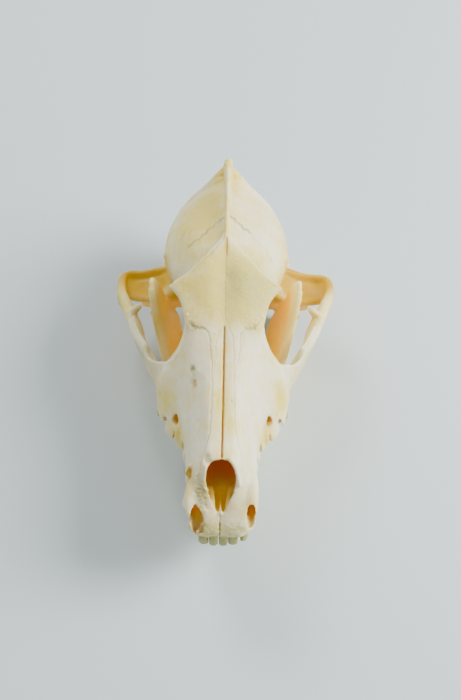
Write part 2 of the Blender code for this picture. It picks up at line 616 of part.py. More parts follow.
def cranium():
    """Face, forehead and braincase with the cheek arches, crests and ear bullae, all one bone."""
    arches = (CHEEK_ARCH, ARCH_SHELF, BEHIND_JOINT, ORBIT_SPUR, EAR_SWELLING)
    paired = [strap_rings(rows) for rows in arches]
    paired += [strap_rings(rows) for rows in (NUCHAL_CREST, OCCIPUT_PLATE, PTERYGOID, CANINE_SWELLING)]
    paired += [strap_rings(rows, across=(1, 0, 0)) for rows in (BESIDE_CONDYLE, CARNASSIAL_SWELLING)]
    paired += [ball_rings(*ball) for ball in BALLS.values()]
    middle = [section_rings(FACE), section_rings(BRAINCASE), strap_rings(SAGITTAL_CREST)]
    middle.append(strap_rings(OCCIPUT_KEEL, across=(1, 0, 0)))
    bone = shells_object("cranium", middle + both(paired), CRANIUM_VOXEL)
    cuts = [ball_rings(*ball) for ball in ROUND_CUTS.values()]
    cuts += [strap_rings(rows) for rows in TUBE_CUTS.values()]
    cuts += [strap_rings(rows, across=(1, 0, 0)) for rows in UPPER_SOCKETS.values()]
    hollows = [section_rings(rows) for rows in (NOSE_CAVITY, BRAIN_HOLLOW, THROAT)]
    hollows.append(strap_rings(NOSE_TO_THROAT))
    hollows += [strap_rings(rows, across=(1, 0, 0)) for rows in (LEFT_CANINE_SOCKET, RIGHT_CANINE_SOCKET)]
    hollows += [ball_rings(*ball) for ball in RIGHT_ROUND_CUTS.values()]
    cutter = hide(shells_object("cranium_hollows", hollows + both(cuts), CUTTER_VOXEL))
    finish_bone(bone, cutter, CRANIUM_VOXEL, CRANIUM_FACES)
    fitted = [tooth_rings(tooth, -1, SOCKET_GAP) for tooth in UPPER_TEETH]
    cut(bone, hide(plain_object("cranium_tooth_sockets", both(fitted))), "tooth_sockets")
    return bone


def jaw_half(side, table):
    """One half of the lower jaw, with its flat symphysis just clear of the other half."""
    shells = [strap_rings(rows) for rows in (JAW_BODY, JAW_NECK, JAW_HOOK, JAW_JOINT_HEAD)]
    shells += [strap_rings(rows, across=(1, 0, 0)) for rows in (JAW_LEAF, JAW_LEAF_EDGE)]
    cuts = [ball_rings(*ball) for ball in JAW_CUTS.values()]
    cuts += [strap_rings(rows, across=(1, 0, 0)) for rows in LOWER_SOCKETS.values()]
    beyond = [(SYMPHYSIS_GAP - 10, y, -15, 60, 20, 0) for y in (-100, -30)]
    cuts.append(strap_rings(beyond, sides=4, squareness=0.02))
    if side < 0:
        shells, cuts = [mirrored(rings) for rings in shells], [mirrored(rings) for rings in cuts]
    name = "lower_jaw_left" if side > 0 else "lower_jaw_right"
    bone = shells_object(name, shells, JAW_VOXEL)
    cutter = hide(shells_object(name + "_hollows", cuts, CUTTER_VOXEL))
    finish_bone(bone, cutter, JAW_VOXEL, JAW_FACES)
    fitted = [tooth_rings(tooth, 1, SOCKET_GAP) for tooth in LOWER_TEETH]
    if side < 0:
        fitted = [mirrored(rings) for rings in fitted]
    cut(bone, hide(plain_object(name + "_tooth_sockets", fitted)), "tooth_sockets")
    cut(bone, table, "worn_feet")
    return bone


def teeth():
    """Each tooth that is left is a piece of its own, clear of its socket."""
    made = []
    for crown_way, row in ((-1, UPPER_TEETH), (1, LOWER_TEETH)):
        for tooth in row:
            rings = tooth_rings(tooth, crown_way)
            for name, shape in ((tooth[0] + "_left", rings), (tooth[0] + "_right", mirrored(rings))):
                if name not in LOST_TEETH:
                    made.append(plain_object(name, [shape]))
    return made


def clear_scene():
    for leftover in list(bpy.data.objects):
        bpy.data.objects.remove(leftover)


def stance():
    """An empty that carries the whole skull from the palate's frame to how it stands on the table."""
    tip = math.atan2(REAR_FOOT[1] - BELLY_FOOT[1], REAR_FOOT[0] - BELLY_FOOT[0])
    turn = Matrix.Rotation(-tip, 4, "X")
    foot = turn @ Vector((0.0, *REAR_FOOT)) * MM
    carrier = bpy.data.objects.new("stance", None)
    bpy.context.scene.collection.objects.link(carrier)
    carrier.matrix_world = Matrix.Translation((0.0, 0.0, -foot.z - FOOT_WEAR * MM)) @ turn
    return carrier


def table_block():
    """Everything below the table's top, which wears the small flat feet of the lower jaw."""
    width, depth, height = (side * MM for side in TABLE_SIZE)
    bpy.ops.mesh.primitive_cube_add(size=1, location=(0, 0, -height / 2))
    block = bpy.context.object
    block.name = "table_block"
    block.scale = (width, depth, height)
    return hide(block)


def centre_on_origin(carrier, pieces):
    """Slides the skull over the table until its outermost points are centred on the origin."""
    bpy.context.view_layer.update()
    graph = bpy.context.evaluated_depsgraph_get()
    points = []
    for piece in pieces:
        mesh = piece.evaluated_get(graph).to_mesh()
        points += [piece.matrix_world @ v.co for v in mesh.vertices]
    low, high = np.min(points, axis=0), np.max(points, axis=0)
    carrier.location.x -= (low[0] + high[0]) / 2
    carrier.location.y -= (low[1] + high[1]) / 2


def main():
    clear_scene()
    carrier = stance()
    table = table_block()
    bones = [cranium(), jaw_half(1, table), jaw_half(-1, table)]
    crowns = teeth()
    for helper in list(bpy.data.objects):
        if helper not in (carrier, table):
            helper.parent = carrier
    for piece in bones + crowns:
        colour, roughness = COLOURS["tooth" if piece in crowns else piece.name]
        piece.data.materials.append(material(piece.name, colour, roughness))
    centre_on_origin(carrier, bones + crowns)


main()
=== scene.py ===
"""A coyote skull dressed for its photograph: bone, teeth, table, light and camera.

Shapes are worked out in millimetres in the palate's own frame: x to the animal's left, y from the
nose (minus) to the back of the head (plus), z up from the edge of the upper tooth sockets. Each
finished piece is then stood up on its lower jaw, in metres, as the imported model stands.
"""

import math

import bmesh
import bpy
import numpy as np
from mathutils import Matrix, Vector, noise
from mathutils.bvhtree import BVHTree


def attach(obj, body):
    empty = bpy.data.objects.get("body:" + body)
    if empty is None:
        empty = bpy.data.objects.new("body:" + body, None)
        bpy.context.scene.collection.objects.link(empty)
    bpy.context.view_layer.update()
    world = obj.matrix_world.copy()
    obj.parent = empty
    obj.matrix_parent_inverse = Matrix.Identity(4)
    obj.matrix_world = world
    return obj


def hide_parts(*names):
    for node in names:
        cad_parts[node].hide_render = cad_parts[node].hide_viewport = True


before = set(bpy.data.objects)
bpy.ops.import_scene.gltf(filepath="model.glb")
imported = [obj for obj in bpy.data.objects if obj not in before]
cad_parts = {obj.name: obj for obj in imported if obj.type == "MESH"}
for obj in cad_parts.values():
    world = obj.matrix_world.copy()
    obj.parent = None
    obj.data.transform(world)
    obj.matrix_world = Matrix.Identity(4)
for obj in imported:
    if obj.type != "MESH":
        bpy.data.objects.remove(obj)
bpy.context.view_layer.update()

# ------------------------------------------------------------
# Cranium: the snout, forehead, braincase and cheek arches, grown together from many plates.
# Dry cleaned bone, ivory outside, with a painted amber glow where light comes through thin bone
# and painted shade in its hollows. Sutures, nerve holes, the open nose and the empty tooth sockets
# are all worked into this one piece.
# ------------------------------------------------------------

# Half cross-sections of the snout as (x, z), at each y from its tip to the front of the orbits.
FACE = [
    (-94.2, [(0, 0.8), (3.6, 0.8), (6.4, 0.4), (8.4, -0.2), (9, -1), (8.4, -1.8), (6, -2.2),
        (3, -2.2), (0, -2.2)]),
    (-92, [(0, 3), (4.4, 3.6), (8.6, 3.3), (11, 2.4), (12, 0.2), (11.4, -1.8), (8.6, -2.4),
        (5, -2.2), (0, -2)]),
    (-89.6, [(0, 5.4), (4.6, 6.6), (9, 6), (12.4, 4.4), (14.2, 1.4), (13.8, -1.2), (9.8, -2),
        (5, -1.2), (0, -0.6)]),
    (-87, [(0, 8), (5, 9.2), (9.4, 8.4), (12.8, 6.4), (14.4, 3.4), (14.1, 0.2), (10, -0.8), (5, 0),
        (0, 0.6)]),
    (-82, [(0, 15), (6, 15), (10.6, 12), (13.4, 8), (14.6, 4), (14.4, 0.5), (10.5, -0.5), (6, 1.5),
        (0, 2)]),
    (-76, [(0, 24.5), (6, 23.5), (10.5, 18), (13.2, 11.5), (14.4, 5), (14.3, 0.5), (11, 0), (6, 2),
        (0, 2.5)]),
    (-66, [(0, 27), (6, 26), (10.6, 20.5), (13.2, 13), (14.8, 5.5), (15, 0.5), (12, 0), (7, 2.5),
        (0, 3)]),
    (-56, [(0, 29.5), (6, 28.6), (11, 22.5), (13.8, 14), (15.6, 6), (16, 0.5), (13, 0), (8, 3),
        (0, 3.5)]),
    (-48, [(0, 31.5), (6, 31), (11.5, 25), (15, 16), (17.5, 7), (18.4, 0.5), (15, 0), (9, 3.5),
        (0, 4)]),
    (-40, [(0, 33.5), (6, 33), (12.5, 27.5), (17, 18), (22, 8), (24.3, 0.5), (19, 0), (10, 4),
        (0, 4.5)]),
    (-32, [(0, 36), (6, 35.5), (14, 30.5), (20, 21), (26.5, 10), (27.3, 1), (22, 0), (11, 4),
        (0, 4.5)]),
    (-22, [(0, 39.5), (6, 39.5), (15, 35.5), (22, 27), (28.5, 16), (28.6, 4), (24, 0.5), (12, 4),
        (0, 4.5)]),
    (-13, [(0, 43.5), (7, 43.8), (16, 41.2), (18.8, 31), (23.4, 20.6), (28.2, 13), (24, 3),
        (12, 4), (0, 5)]),
]

# Half cross-sections of the forehead and the braincase. The third point of each is the brow.
BRAINCASE = [
    (-22, [(0, 39), (6, 39), (11, 37), (12.5, 34), (13, 28), (13, 22), (12, 12), (9, 5), (0, 5)]),
    (-12, [(0, 44), (7, 44.5), (16.4, 41.8), (16.2, 39.3), (14, 34), (13, 25), (12, 14), (9, 5),
        (0, 6)]),
    (-4, [(0, 47.5), (8, 48.6), (18.4, 44.9), (18, 42.4), (14, 38), (12, 28), (11.5, 16), (8.5, 7),
        (0, 9)]),
    (2, [(0, 50), (8.5, 51.5), (21.2, 46.6), (20.8, 43.8), (13.8, 39), (12.2, 29), (11.5, 17),
        (8.5, 8), (0, 10)]),
    (5.5, [(0, 51.5), (9, 53.2), (23.8, 46.8), (23.4, 44.3), (15.2, 40), (13, 30), (11.5, 18),
        (8.5, 8), (0, 11)]),
    (8.5, [(0, 53), (8, 54.3), (17.2, 50), (18.4, 45), (16.2, 39.5), (14.6, 30), (12.2, 18),
        (9, 8.5), (0, 11)]),
    (12.5, [(0, 54.8), (6.5, 55.4), (12, 53.2), (16.4, 46.5), (17.4, 39), (17, 30), (14, 18),
        (9.5, 9), (0, 11)]),
    (19, [(0, 56.6), (3.2, 56.8), (6.5, 55.4), (14.6, 49.6), (20, 41), (21, 31), (17, 18),
        (11, 9.5), (0, 10)]),
    (27, [(0, 57.5), (1.2, 57.2), (4.5, 55.2), (15.5, 50), (23, 41), (24.4, 31), (20.5, 18),
        (13, 9.5), (0, 9)]),
    (40, [(0, 57), (2, 56), (8, 54.2), (19, 48.8), (26.2, 40), (28.2, 30), (24.8, 18), (15, 10),
        (0, 8.5)]),
    (52, [(0, 55.5), (2, 54.8), (8, 52.5), (18.6, 46.8), (26, 38.5), (28.3, 29.5), (26, 18),
        (16, 10), (0, 8.5)]),
    (64, [(0, 53.5), (2, 52.8), (8, 50.4), (17.4, 44.6), (24.4, 36.4), (27, 28), (25, 17),
        (16, 9.5), (0, 9)]),
    (74, [(0, 51), (2, 50.2), (7, 47.6), (14.6, 42), (20.8, 35.4), (24, 27.4), (22, 17), (14, 10),
        (0, 10)]),
    (81, [(0, 47), (2, 46.4), (5.5, 44), (10.6, 39.4), (15.2, 33.4), (17.4, 26.5), (14.4, 18),
        (9, 13), (0, 12)]),
]

# Straps of bone, each row as (x, y, z, height, thickness, and a lean in degrees where it leans).
CHEEK_ARCH = [
    (21, -28, 13, 19, 7, 14), (26.4, -18.5, 14.6, 16, 6, 12), (32.8, -9.5, 15.2, 13, 5, -4),
    (37.8, 1.5, 16.4, 12, 4.8, -20), (41.4, 12.5, 18, 12.4, 5.4, -24),
    (44.6, 22, 17.6, 10.8, 5.4, -14), (47.9, 31, 16.6, 9.5, 4.8), (48.4, 40, 15.6, 9.5, 4.4, 2),
    (46, 45.4, 15, 8, 3.8), (38, 46.8, 14.6, 8, 3.4), (27, 47, 17.4, 9, 4.6),
]
ARCH_SHELF = [
    (20, 41, 20, 8, 19), (28, 39.4, 16, 5.6, 18), (36, 39, 13.6, 4.4, 16.5),
    (43, 38.4, 13.6, 4.2, 14), (47.5, 38.8, 15, 5, 10.5),
]
BEHIND_JOINT = [(26, 47.6, 13, 9, 4), (33, 47.6, 10.4, 9, 4), (40, 46.6, 12.2, 5, 3.6)]
ORBIT_SPUR = [
    (42.6, 14, 21, 9.6, 3.8, 30), (40, 15.2, 23.4, 6.4, 3.2, 40), (37.8, 15.6, 24.8, 3, 2.4, 45),
]
SAGITTAL_CREST = [
    (0, 24, 56, 4, 2.6), (0, 34, 57.4, 5, 2.2), (0, 46, 57.6, 8, 2.2),
    (0, 60, 55.8, 11, 2.6), (0, 72, 52.8, 13, 3.2), (0, 82, 50, 9, 4.2),
    (0, 87.6, 50.6, 5, 4.6), (0, 90.4, 52, 3.4, 3.6),
]
NUCHAL_CREST = [
    (0, 86, 49.6, 5, 4), (4, 84, 46.4, 5.4, 4), (10, 80, 41.2, 6, 3.6),
    (16.4, 76.2, 37, 6, 3.4), (21.8, 72, 31.4, 6, 3.4), (25, 66.6, 24, 6, 3.6),
    (26.4, 61, 16.6, 6.4, 4.6),
]
OCCIPUT_KEEL = [(0, 83, 46, 12, 4), (0, 80, 34, 10, 3), (0, 79, 29, 6, 3)]
OCCIPUT_PLATE = [
    (0, 81.5, 41, 18, 5), (6, 79.6, 38.2, 14, 5), (12, 76.6, 33.6, 11, 5),
    (18, 72.6, 28.6, 9, 5),
]
EAR_SWELLING = [(27.2, 50, 16, 7, 5), (27.4, 57, 14, 8, 6), (24.6, 64, 12, 10, 6)]
PTERYGOID = [
    (9.6, -10, 6, 8, 3), (8.8, 0, 5, 10, 2.6), (8.6, 9, 4.6, 9, 2.4),
    (9, 16, 3.6, 6, 2.2), (9.4, 20, 1.4, 2.6, 2),
]
BESIDE_CONDYLE = [(18.6, 70, 14, 8, 7), (19.6, 71.6, 8, 6, 5), (20, 72.4, 2.6, 4, 3.2)]
CANINE_SWELLING = [
    (12.2, -88, 3.6, 6, 5), (12.4, -83, 6.4, 8.6, 6.4), (12.2, -77, 10.4, 8.6, 6.4),
    (11.6, -70, 13.6, 6.6, 5.8),
]
CARNASSIAL_SWELLING = [
    (18, -45.4, 0.8, 4.6, 4.4), (18.4, -45, 5, 5, 4.6), (18, -43, 10, 3, 3),
]

# Balls of bone: centre, radii.
BALLS = {
    "ear_bulla": ((14.6, 52, 6.4), (8.8, 12.4, 8.6)),
    "occipital_condyle": ((8.6, 80, 15.4), (5, 6, 6.6)),
}

# What is hollow: the nose, the braincase, the throat, and the round and tube-shaped holes.
NOSE_CAVITY = [
    (-93, [(0, 14), (0.9, 14), (1, 11), (0.8, 8.4), (0, 8)]),
    (-89, [(0, 18), (1.8, 18), (2, 11), (1.2, 6.8), (0, 6.4)]),
    (-85.5, [(0, 27), (3, 27), (3.6, 12), (2.2, 6), (0, 5.4)]),
    (-81.5, [(0, 31), (4.6, 31), (5.8, 13), (3.6, 5.8), (0, 5)]),
    (-77.6, [(0, 30), (4.4, 30), (6.2, 14), (4.2, 6), (0, 5.2)]),
    (-74.4, [(0, 23.6), (4, 22), (6.5, 14), (4.6, 6.2), (0, 5.4)]),
    (-62, [(0, 25), (5, 24), (7.2, 15), (5, 6.8), (0, 6)]),
    (-44, [(0, 29.4), (5, 28.4), (8, 18), (6, 8.6), (0, 7.6)]),
    (-28, [(0, 33.6), (4.6, 32.6), (7.6, 22), (6, 12), (0, 11)]),
]
BRAIN_HOLLOW = [
    (24, [(0, 48), (6, 46), (11, 36), (9, 24), (0, 18)]),
    (36, [(0, 52.6), (12, 48), (22, 36), (19, 20), (0, 13.4)]),
    (50, [(0, 51), (13, 46), (24, 33), (20, 19), (0, 13)]),
    (62, [(0, 47), (10, 43), (20, 31), (17, 19), (0, 13.6)]),
    (72, [(0, 38), (7, 36), (13, 28), (11, 19), (0, 15)]),
    (76, [(0, 30.5), (5.4, 28.6), (8.6, 23), (6, 16), (0, 14.4)]),
    (92, [(0, 30.5), (5.4, 28.6), (8.6, 23), (6, 16), (0, 12.4)]),
]
THROAT = [
    (-11, [(0, 4.6), (3.5, 4), (5.5, 2.4), (5.4, -4), (0, -4)]),
    (-4, [(0, 7.6), (4.6, 7), (6.8, 3), (6.8, -6), (0, -6)]),
    (26, [(0, 7.6), (4.8, 7), (7.2, 2), (7.2, -6), (0, -6)]),
]
ROUND_CUTS = {
    "orbit": ((26.2, -9.4, 26), (9.6, 8.4, 11.6)),
    "orbit_floor": ((22, -4, 8), (8.6, 12, 8)),
    "shelf_hollow": ((37, 38, 21.4), (9.6, 9, 7.2)),
    "joint_hollow": ((29.8, 38.6, 8.4), (15.6, 5.4, 5)),
    "palate_slit": ((3.4, -79.6, 2), (1, 3.8, 5)),
    "sight_nerve_hole": ((13, 9, 24), (5, 1.8, 1.8)),
    "orbit_fissure": ((14.6, 14.6, 19.6), (5.4, 2, 2.2)),
}
TUBE_CUTS = {
    "cheek_hole": [
        (22.6, -42.4, 9.2, 3.6, 3.8, 10), (17.8, -39.2, 10.4, 4.4, 4.6, 10),
        (13.5, -36, 12.4, 3.6, 3.8),
    ],
    "ear_hole": [(32, 51.5, 13.6, 5.6, 6), (24, 52, 13, 5.2, 5.6), (17, 52.5, 11, 4, 4)],
}
NOSE_TO_THROAT = [
    (0, -32, 17, 9, 9), (0, -20, 14, 9, 10), (0, -10, 8.6, 8, 10), (0, -4, 4, 7, 11),
]
RIGHT_ROUND_CUTS = {
    "upper_pit": ((-13.4, -32, 32.2), (1.5, 2.6, 2.4)),
    "lower_pit": ((-13.4, -37.2, 29.6), (1.4, 2.2, 2.2)),
    "socket_wall": ((-17.2, -63, 2.6), (2.6, 7.4, 3.6)),
    "broken_wall": ((-16.6, -77, 5), (5, 7, 9)),
    "canine_wall": ((-16.4, -89.6, 1), (3.6, 7.4, 7.6)),
    "nasal_tip": ((-6.4, -75.4, 25.4), (2, 3.4, 3)),
}
LEFT_CANINE_SOCKET = [
    (12.4, -91.6, 0.8, 4.6, 2.6), (12.6, -88.4, 4.4, 6.2, 3.4),
    (12.4, -84, 6.8, 5.8, 3.8), (12, -77.6, 9, 5.2, 4.2), (11.4, -72, 10.6, 3.6, 3.4),
]
RIGHT_CANINE_SOCKET = [
    (-8.8, -93.4, -0.6, 6, 4.4), (-9.2, -90, 3.2, 6.6, 5.2), (-10, -85.6, 5.8, 5.6, 5.2),
    (-10.8, -78, 8.6, 5.2, 4.6), (-11.2, -72, 10.4, 3.6, 3.4),
]
UPPER_SOCKETS = {
    "premolar_1": [(14.6, -77, -3, 4, 3.4), (13.6, -74.4, 5, 2.8, 2.6)],
    "premolar_2_front": [(15.4, -69.8, -3, 4, 3.2), (14.2, -69, 6, 2.8, 2.4)],
    "premolar_2_rear": [(15.6, -64.2, -3, 4.2, 3.4), (14.4, -63.6, 6, 2.8, 2.4)],
    "premolar_3_front": [(16.2, -58.4, -3, 4.4, 3.4), (15, -57.8, 6, 3, 2.4)],
    "premolar_3_rear": [(17.2, -51.6, -3, 4.8, 3.8), (15.8, -51, 6.4, 3, 2.6)],
    "premolar_4_front": [(20.6, -45.2, -3, 5.6, 4), (18.8, -44.4, 7, 3.2, 2.8)],
    "premolar_4_inner": [(16.4, -42.6, -3, 4.4, 4.2), (16.4, -42, 5, 2.8, 2.6)],
    "premolar_4_rear": [(25.2, -35, -3, 8.4, 4.4), (23.6, -34.4, 7, 5, 3)],
}

SIDEWAYS = (1, 0, 0)
CRANIUM_VOXEL = 0.55
CRANIUM_TRIANGLES = 185000


def smooth_path(rows, steps):
    """A Catmull-Rom curve: between two rows the point is a cubic in t whose slope at each row is
    half the way from the row before it to the row after it. Rows may hold arrays of any shape."""
    known = np.asarray(rows, float)
    padded = np.concatenate([2 * known[:1] - known[1:2], known, 2 * known[-1:] - known[-2:-1]])
    a, b, c, d = (padded[i : len(padded) - 3 + i, None] for i in range(4))
    t = np.linspace(0.0, 1.0, steps, endpoint=False).reshape(1, -1, *[1] * (known.ndim - 1))
    cubic = 3 * b - a - 3 * c + d
    curve = 0.5 * (2 * b + (c - a) * t + (2 * a - 5 * b + 4 * c - d) * t**2 + cubic * t**3)
    return np.concatenate([curve.reshape(-1, *known.shape[1:]), known[-1:]])


def section_grid(stations, along_steps=8, round_steps=8):
    """Points (ring, place round the ring, xyz). Each half outline is rounded by a smooth path, the
    outlines are carried along y by another, and the other half is the same with x turned over."""
    places = np.array([y for y, _ in stations])
    halves = np.array([half for _, half in stations], float)
    places, halves = smooth_path(places, along_steps), smooth_path(halves, along_steps)
    halves = smooth_path(halves.swapaxes(0, 1), round_steps).swapaxes(0, 1)
    outline = np.concatenate([halves, halves[:, -2:0:-1] * (-1, 1)], axis=1)
    depth = np.broadcast_to(places[:, None], outline.shape[:2])
    return np.stack([outline[..., 0], depth, outline[..., 1]], axis=2)


def strap_grid(rows, across=None, sides=24, steps=10, squareness=0.75):
    """A rounded-box profile carried along a smooth path. The profile is (|cos|^q, |sin|^q) with its
    signs kept, times half the thickness and half the height. The thickness runs level and square to
    the path, or along `across`, and lean turns the profile about the path."""
    path = smooth_path([(*row, 0)[:6] for row in rows], steps)
    ahead = np.gradient(path[:, :3], axis=0)
    ahead /= np.linalg.norm(ahead, axis=1)[:, None]
    if across is None:
        level = np.cross(ahead, (0.0, 0.0, 1.0))
    else:
        level = np.tile(np.array(across, float), (len(path), 1))
    level = level - ahead * (level * ahead).sum(1)[:, None]
    level /= np.linalg.norm(level, axis=1)[:, None]
    upward = np.cross(level, ahead)
    lean = np.radians(path[:, 5])[:, None]
    wide = np.cos(lean) * level + np.sin(lean) * upward
    tall = np.cos(lean) * upward - np.sin(lean) * level
    angle = np.arange(sides) * 2 * math.pi / sides
    side_share = np.sign(np.cos(angle)) * np.abs(np.cos(angle)) ** squareness
    high_share = np.sign(np.sin(angle)) * np.abs(np.sin(angle)) ** squareness
    out = wide[:, None] * side_share[None, :, None] * path[:, None, None, 4] / 2
    up = tall[:, None] * high_share[None, :, None] * path[:, None, None, 3] / 2
    return path[:, None, :3] + out + up


def ball_grid(centre, radii, sides=32, levels=17):
    """An ellipsoid: (cos a sin p, sin a sin p, -cos p) times the radii, for a round it and p up it."""
    polar = np.linspace(0.08, math.pi - 0.08, levels)[:, None]
    angle = np.arange(sides)[None] * 2 * math.pi / sides
    x, y = np.cos(angle) * np.sin(polar), np.sin(angle) * np.sin(polar)
    return np.asarray(centre) + np.stack([x, y, -np.cos(polar) + 0 * angle], 2) * radii


def mirrored(grid):
    return grid * (-1, 1, 1)


SIDES = (("left", lambda grid: grid), ("right", mirrored))


def both(grids):
    return [side for grid in grids for side in (grid, mirrored(grid))]


def closed_shell(grid):
    """Points and triangles of a grid of rings, shut by a fan to the middle of its first and last
    ring. If the sum of the corners' triple products is negative, the faces are turned over."""
    rings, count = grid.shape[:2]
    points = np.vstack([grid.reshape(-1, 3), grid[0].mean(0), grid[-1].mean(0)])
    near = (np.arange(rings - 1)[:, None] * count + np.arange(count)).ravel()
    beside = (np.arange(rings - 1)[:, None] * count + (np.arange(count) + 1) % count).ravel()
    walls = [(near, beside, beside + count), (near, beside + count, near + count)]
    i = np.arange(count)
    j = (i + 1) % count
    last = (rings - 1) * count
    hubs = np.full(count, rings * count)
    fans = [(j, i, hubs), (last + i, last + j, hubs + 1)]
    faces = np.vstack([np.stack(corners, 1) for corners in walls + fans])
    a, b, c = (points[faces[:, k]] - points.mean(0) for k in range(3))
    if (a * np.cross(b, c)).sum() < 0:
        faces = faces[:, ::-1]
    return points, faces


def mesh_object(name, grids):
    """One object of closed shells, in millimetres."""
    points, faces, start = [], [], 0
    for grid in grids:
        shell_points, shell_faces = closed_shell(grid)
        points.append(shell_points)
        faces.append(shell_faces + start)
        start += len(shell_points)
    mesh = bpy.data.meshes.new(name)
    mesh.from_pydata(np.vstack(points).tolist(), [], np.vstack(faces).tolist())
    made = bpy.data.objects.new(name, mesh)
    bpy.context.scene.collection.objects.link(made)
    return made


def settle(piece):
    """Keeps what the piece's modifiers make of it, and drops the modifiers."""
    bpy.context.view_layer.update()
    graph = bpy.context.evaluated_depsgraph_get()
    made = bpy.data.meshes.new_from_object(piece.evaluated_get(graph))
    piece.modifiers.clear()
    piece.data = made


def fuse(piece, voxel):
    """Melts overlapping shells into one skin."""
    melt = piece.modifiers.new("fuse", "REMESH")
    melt.mode = "VOXEL"
    melt.voxel_size = voxel
    settle(piece)


def cut(piece, cutter):
    """Takes the cutter out of the piece, and removes the cutter."""
    hollow = piece.modifiers.new("cut", "BOOLEAN")
    hollow.operation = "DIFFERENCE"
    hollow.solver = "MANIFOLD"
    hollow.object = cutter
    settle(piece)
    bpy.data.objects.remove(cutter)


def soften(piece, factor, repeats):
    smooth = piece.modifiers.new("soften", "SMOOTH")
    smooth.factor = factor
    smooth.iterations = repeats
    settle(piece)


def thin_faces(piece, triangles):
    """Leaves about this many triangles, fewest where the skin is flattest."""
    piece.data.calc_loop_triangles()
    share = triangles / len(piece.data.loop_triangles)
    if share < 1:
        thin = piece.modifiers.new("thin", "DECIMATE")
        thin.ratio = share
        thin.use_collapse_triangulate = True
        settle(piece)


def points_of(mesh):
    flat = np.empty(len(mesh.vertices) * 3, np.float32)
    mesh.vertices.foreach_get("co", flat)
    return flat.reshape(-1, 3).astype(float)


def normals_of(mesh):
    flat = np.empty(len(mesh.vertices) * 3, np.float32)
    mesh.vertex_normals.foreach_get("vector", flat)
    return flat.reshape(-1, 3).astype(float)


def put_points(mesh, points):
    mesh.vertices.foreach_set("co", points.astype(np.float32).ravel())
    mesh.update()


def put_values(mesh, name, values):
    store = mesh.attributes.new(name, "FLOAT", "POINT")
    store.data.foreach_set("value", values.astype(np.float32))


def spread(mesh, values, repeats):
    """Evens a value out over the skin: each point takes the mean of its own and its neighbours'."""
    ends = np.empty(len(mesh.edges) * 2, np.int32)
    mesh.edges.foreach_get("vertices", ends)
    a, b = ends.reshape(-1, 2).T
    count = np.bincount(a, minlength=len(values)) + np.bincount(b, minlength=len(values)) + 1
    for _ in range(repeats):
        total = np.bincount(a, values[b], len(values)) + np.bincount(b, values[a], len(values))
        values = (total + values) / count
    return values


def tree_of(mesh):
    mesh.calc_loop_triangles()
    corners = np.empty(len(mesh.loop_triangles) * 3, np.int32)
    mesh.loop_triangles.foreach_get("vertices", corners)
    return BVHTree.FromPolygons(points_of(mesh).tolist(), corners.reshape(-1, 3).tolist())


def sunkenness(mesh, reach=26.0, rays=11):
    """How shut in each point is, from 0 in the open to 1: the share of rays, spread evenly over the
    half ball above the skin, that meet bone within reach, each worth more the nearer it meets it."""
    tree, points, normals = tree_of(mesh), points_of(mesh), normals_of(mesh)
    step = np.arange(rays) + 0.5
    rise, turn = 1 - step / rays * 0.92, step * math.pi * (3 - math.sqrt(5))
    flat = np.sqrt(1 - rise**2)
    helper = np.where(np.abs(normals[:, 2:]) < 0.9, (0.0, 0.0, 1.0), (1.0, 0.0, 0.0))
    side = np.cross(normals, helper)
    side /= np.linalg.norm(side, axis=1)[:, None]
    other = np.cross(normals, side)
    start = (points + normals * 0.15).tolist()
    shut = np.zeros(len(points))
    for k in range(rays):
        lie, cross = flat[k] * math.cos(turn[k]), flat[k] * math.sin(turn[k])
        ways = (normals * rise[k] + side * lie + other * cross).tolist()
        met = (tree.ray_cast(place, way, reach)[3] for place, way in zip(start, ways))
        worth = (0.0 if far is None else 1 - 0.6 * far / reach for far in met)
        shut += np.fromiter(worth, float, len(start))
    return spread(mesh, shut / rays, 3)


# How the skull stands: nose up until the belly of the jaw and its rear hooks both touch the table.
NOSE_UP = math.atan2(12.1, 59.0)
STANCE = np.array((0.160, -2.099, 23.522))


def stand_up(piece):
    """Turns the piece by NOSE_UP about x, shifts it by STANCE, and takes millimetres to metres."""
    points = points_of(piece.data)
    c, s = math.cos(NOSE_UP), math.sin(NOSE_UP)
    y, z = points[:, 1] * c + points[:, 2] * s, points[:, 2] * c - points[:, 1] * s
    put_points(piece.data, (np.stack([points[:, 0], y, z], 1) + STANCE) / 1000)
    piece.data.polygons.foreach_set("use_smooth", np.ones(len(piece.data.polygons), bool))
    piece.data.update()


def two_sided(place, *rest):
    """A table's row for each side: its place, or line of places, as it is and with x turned over."""
    other = (np.array(place, float) * (-1, 1, 1)).tolist()
    return [(place, *rest), (other, *rest)]
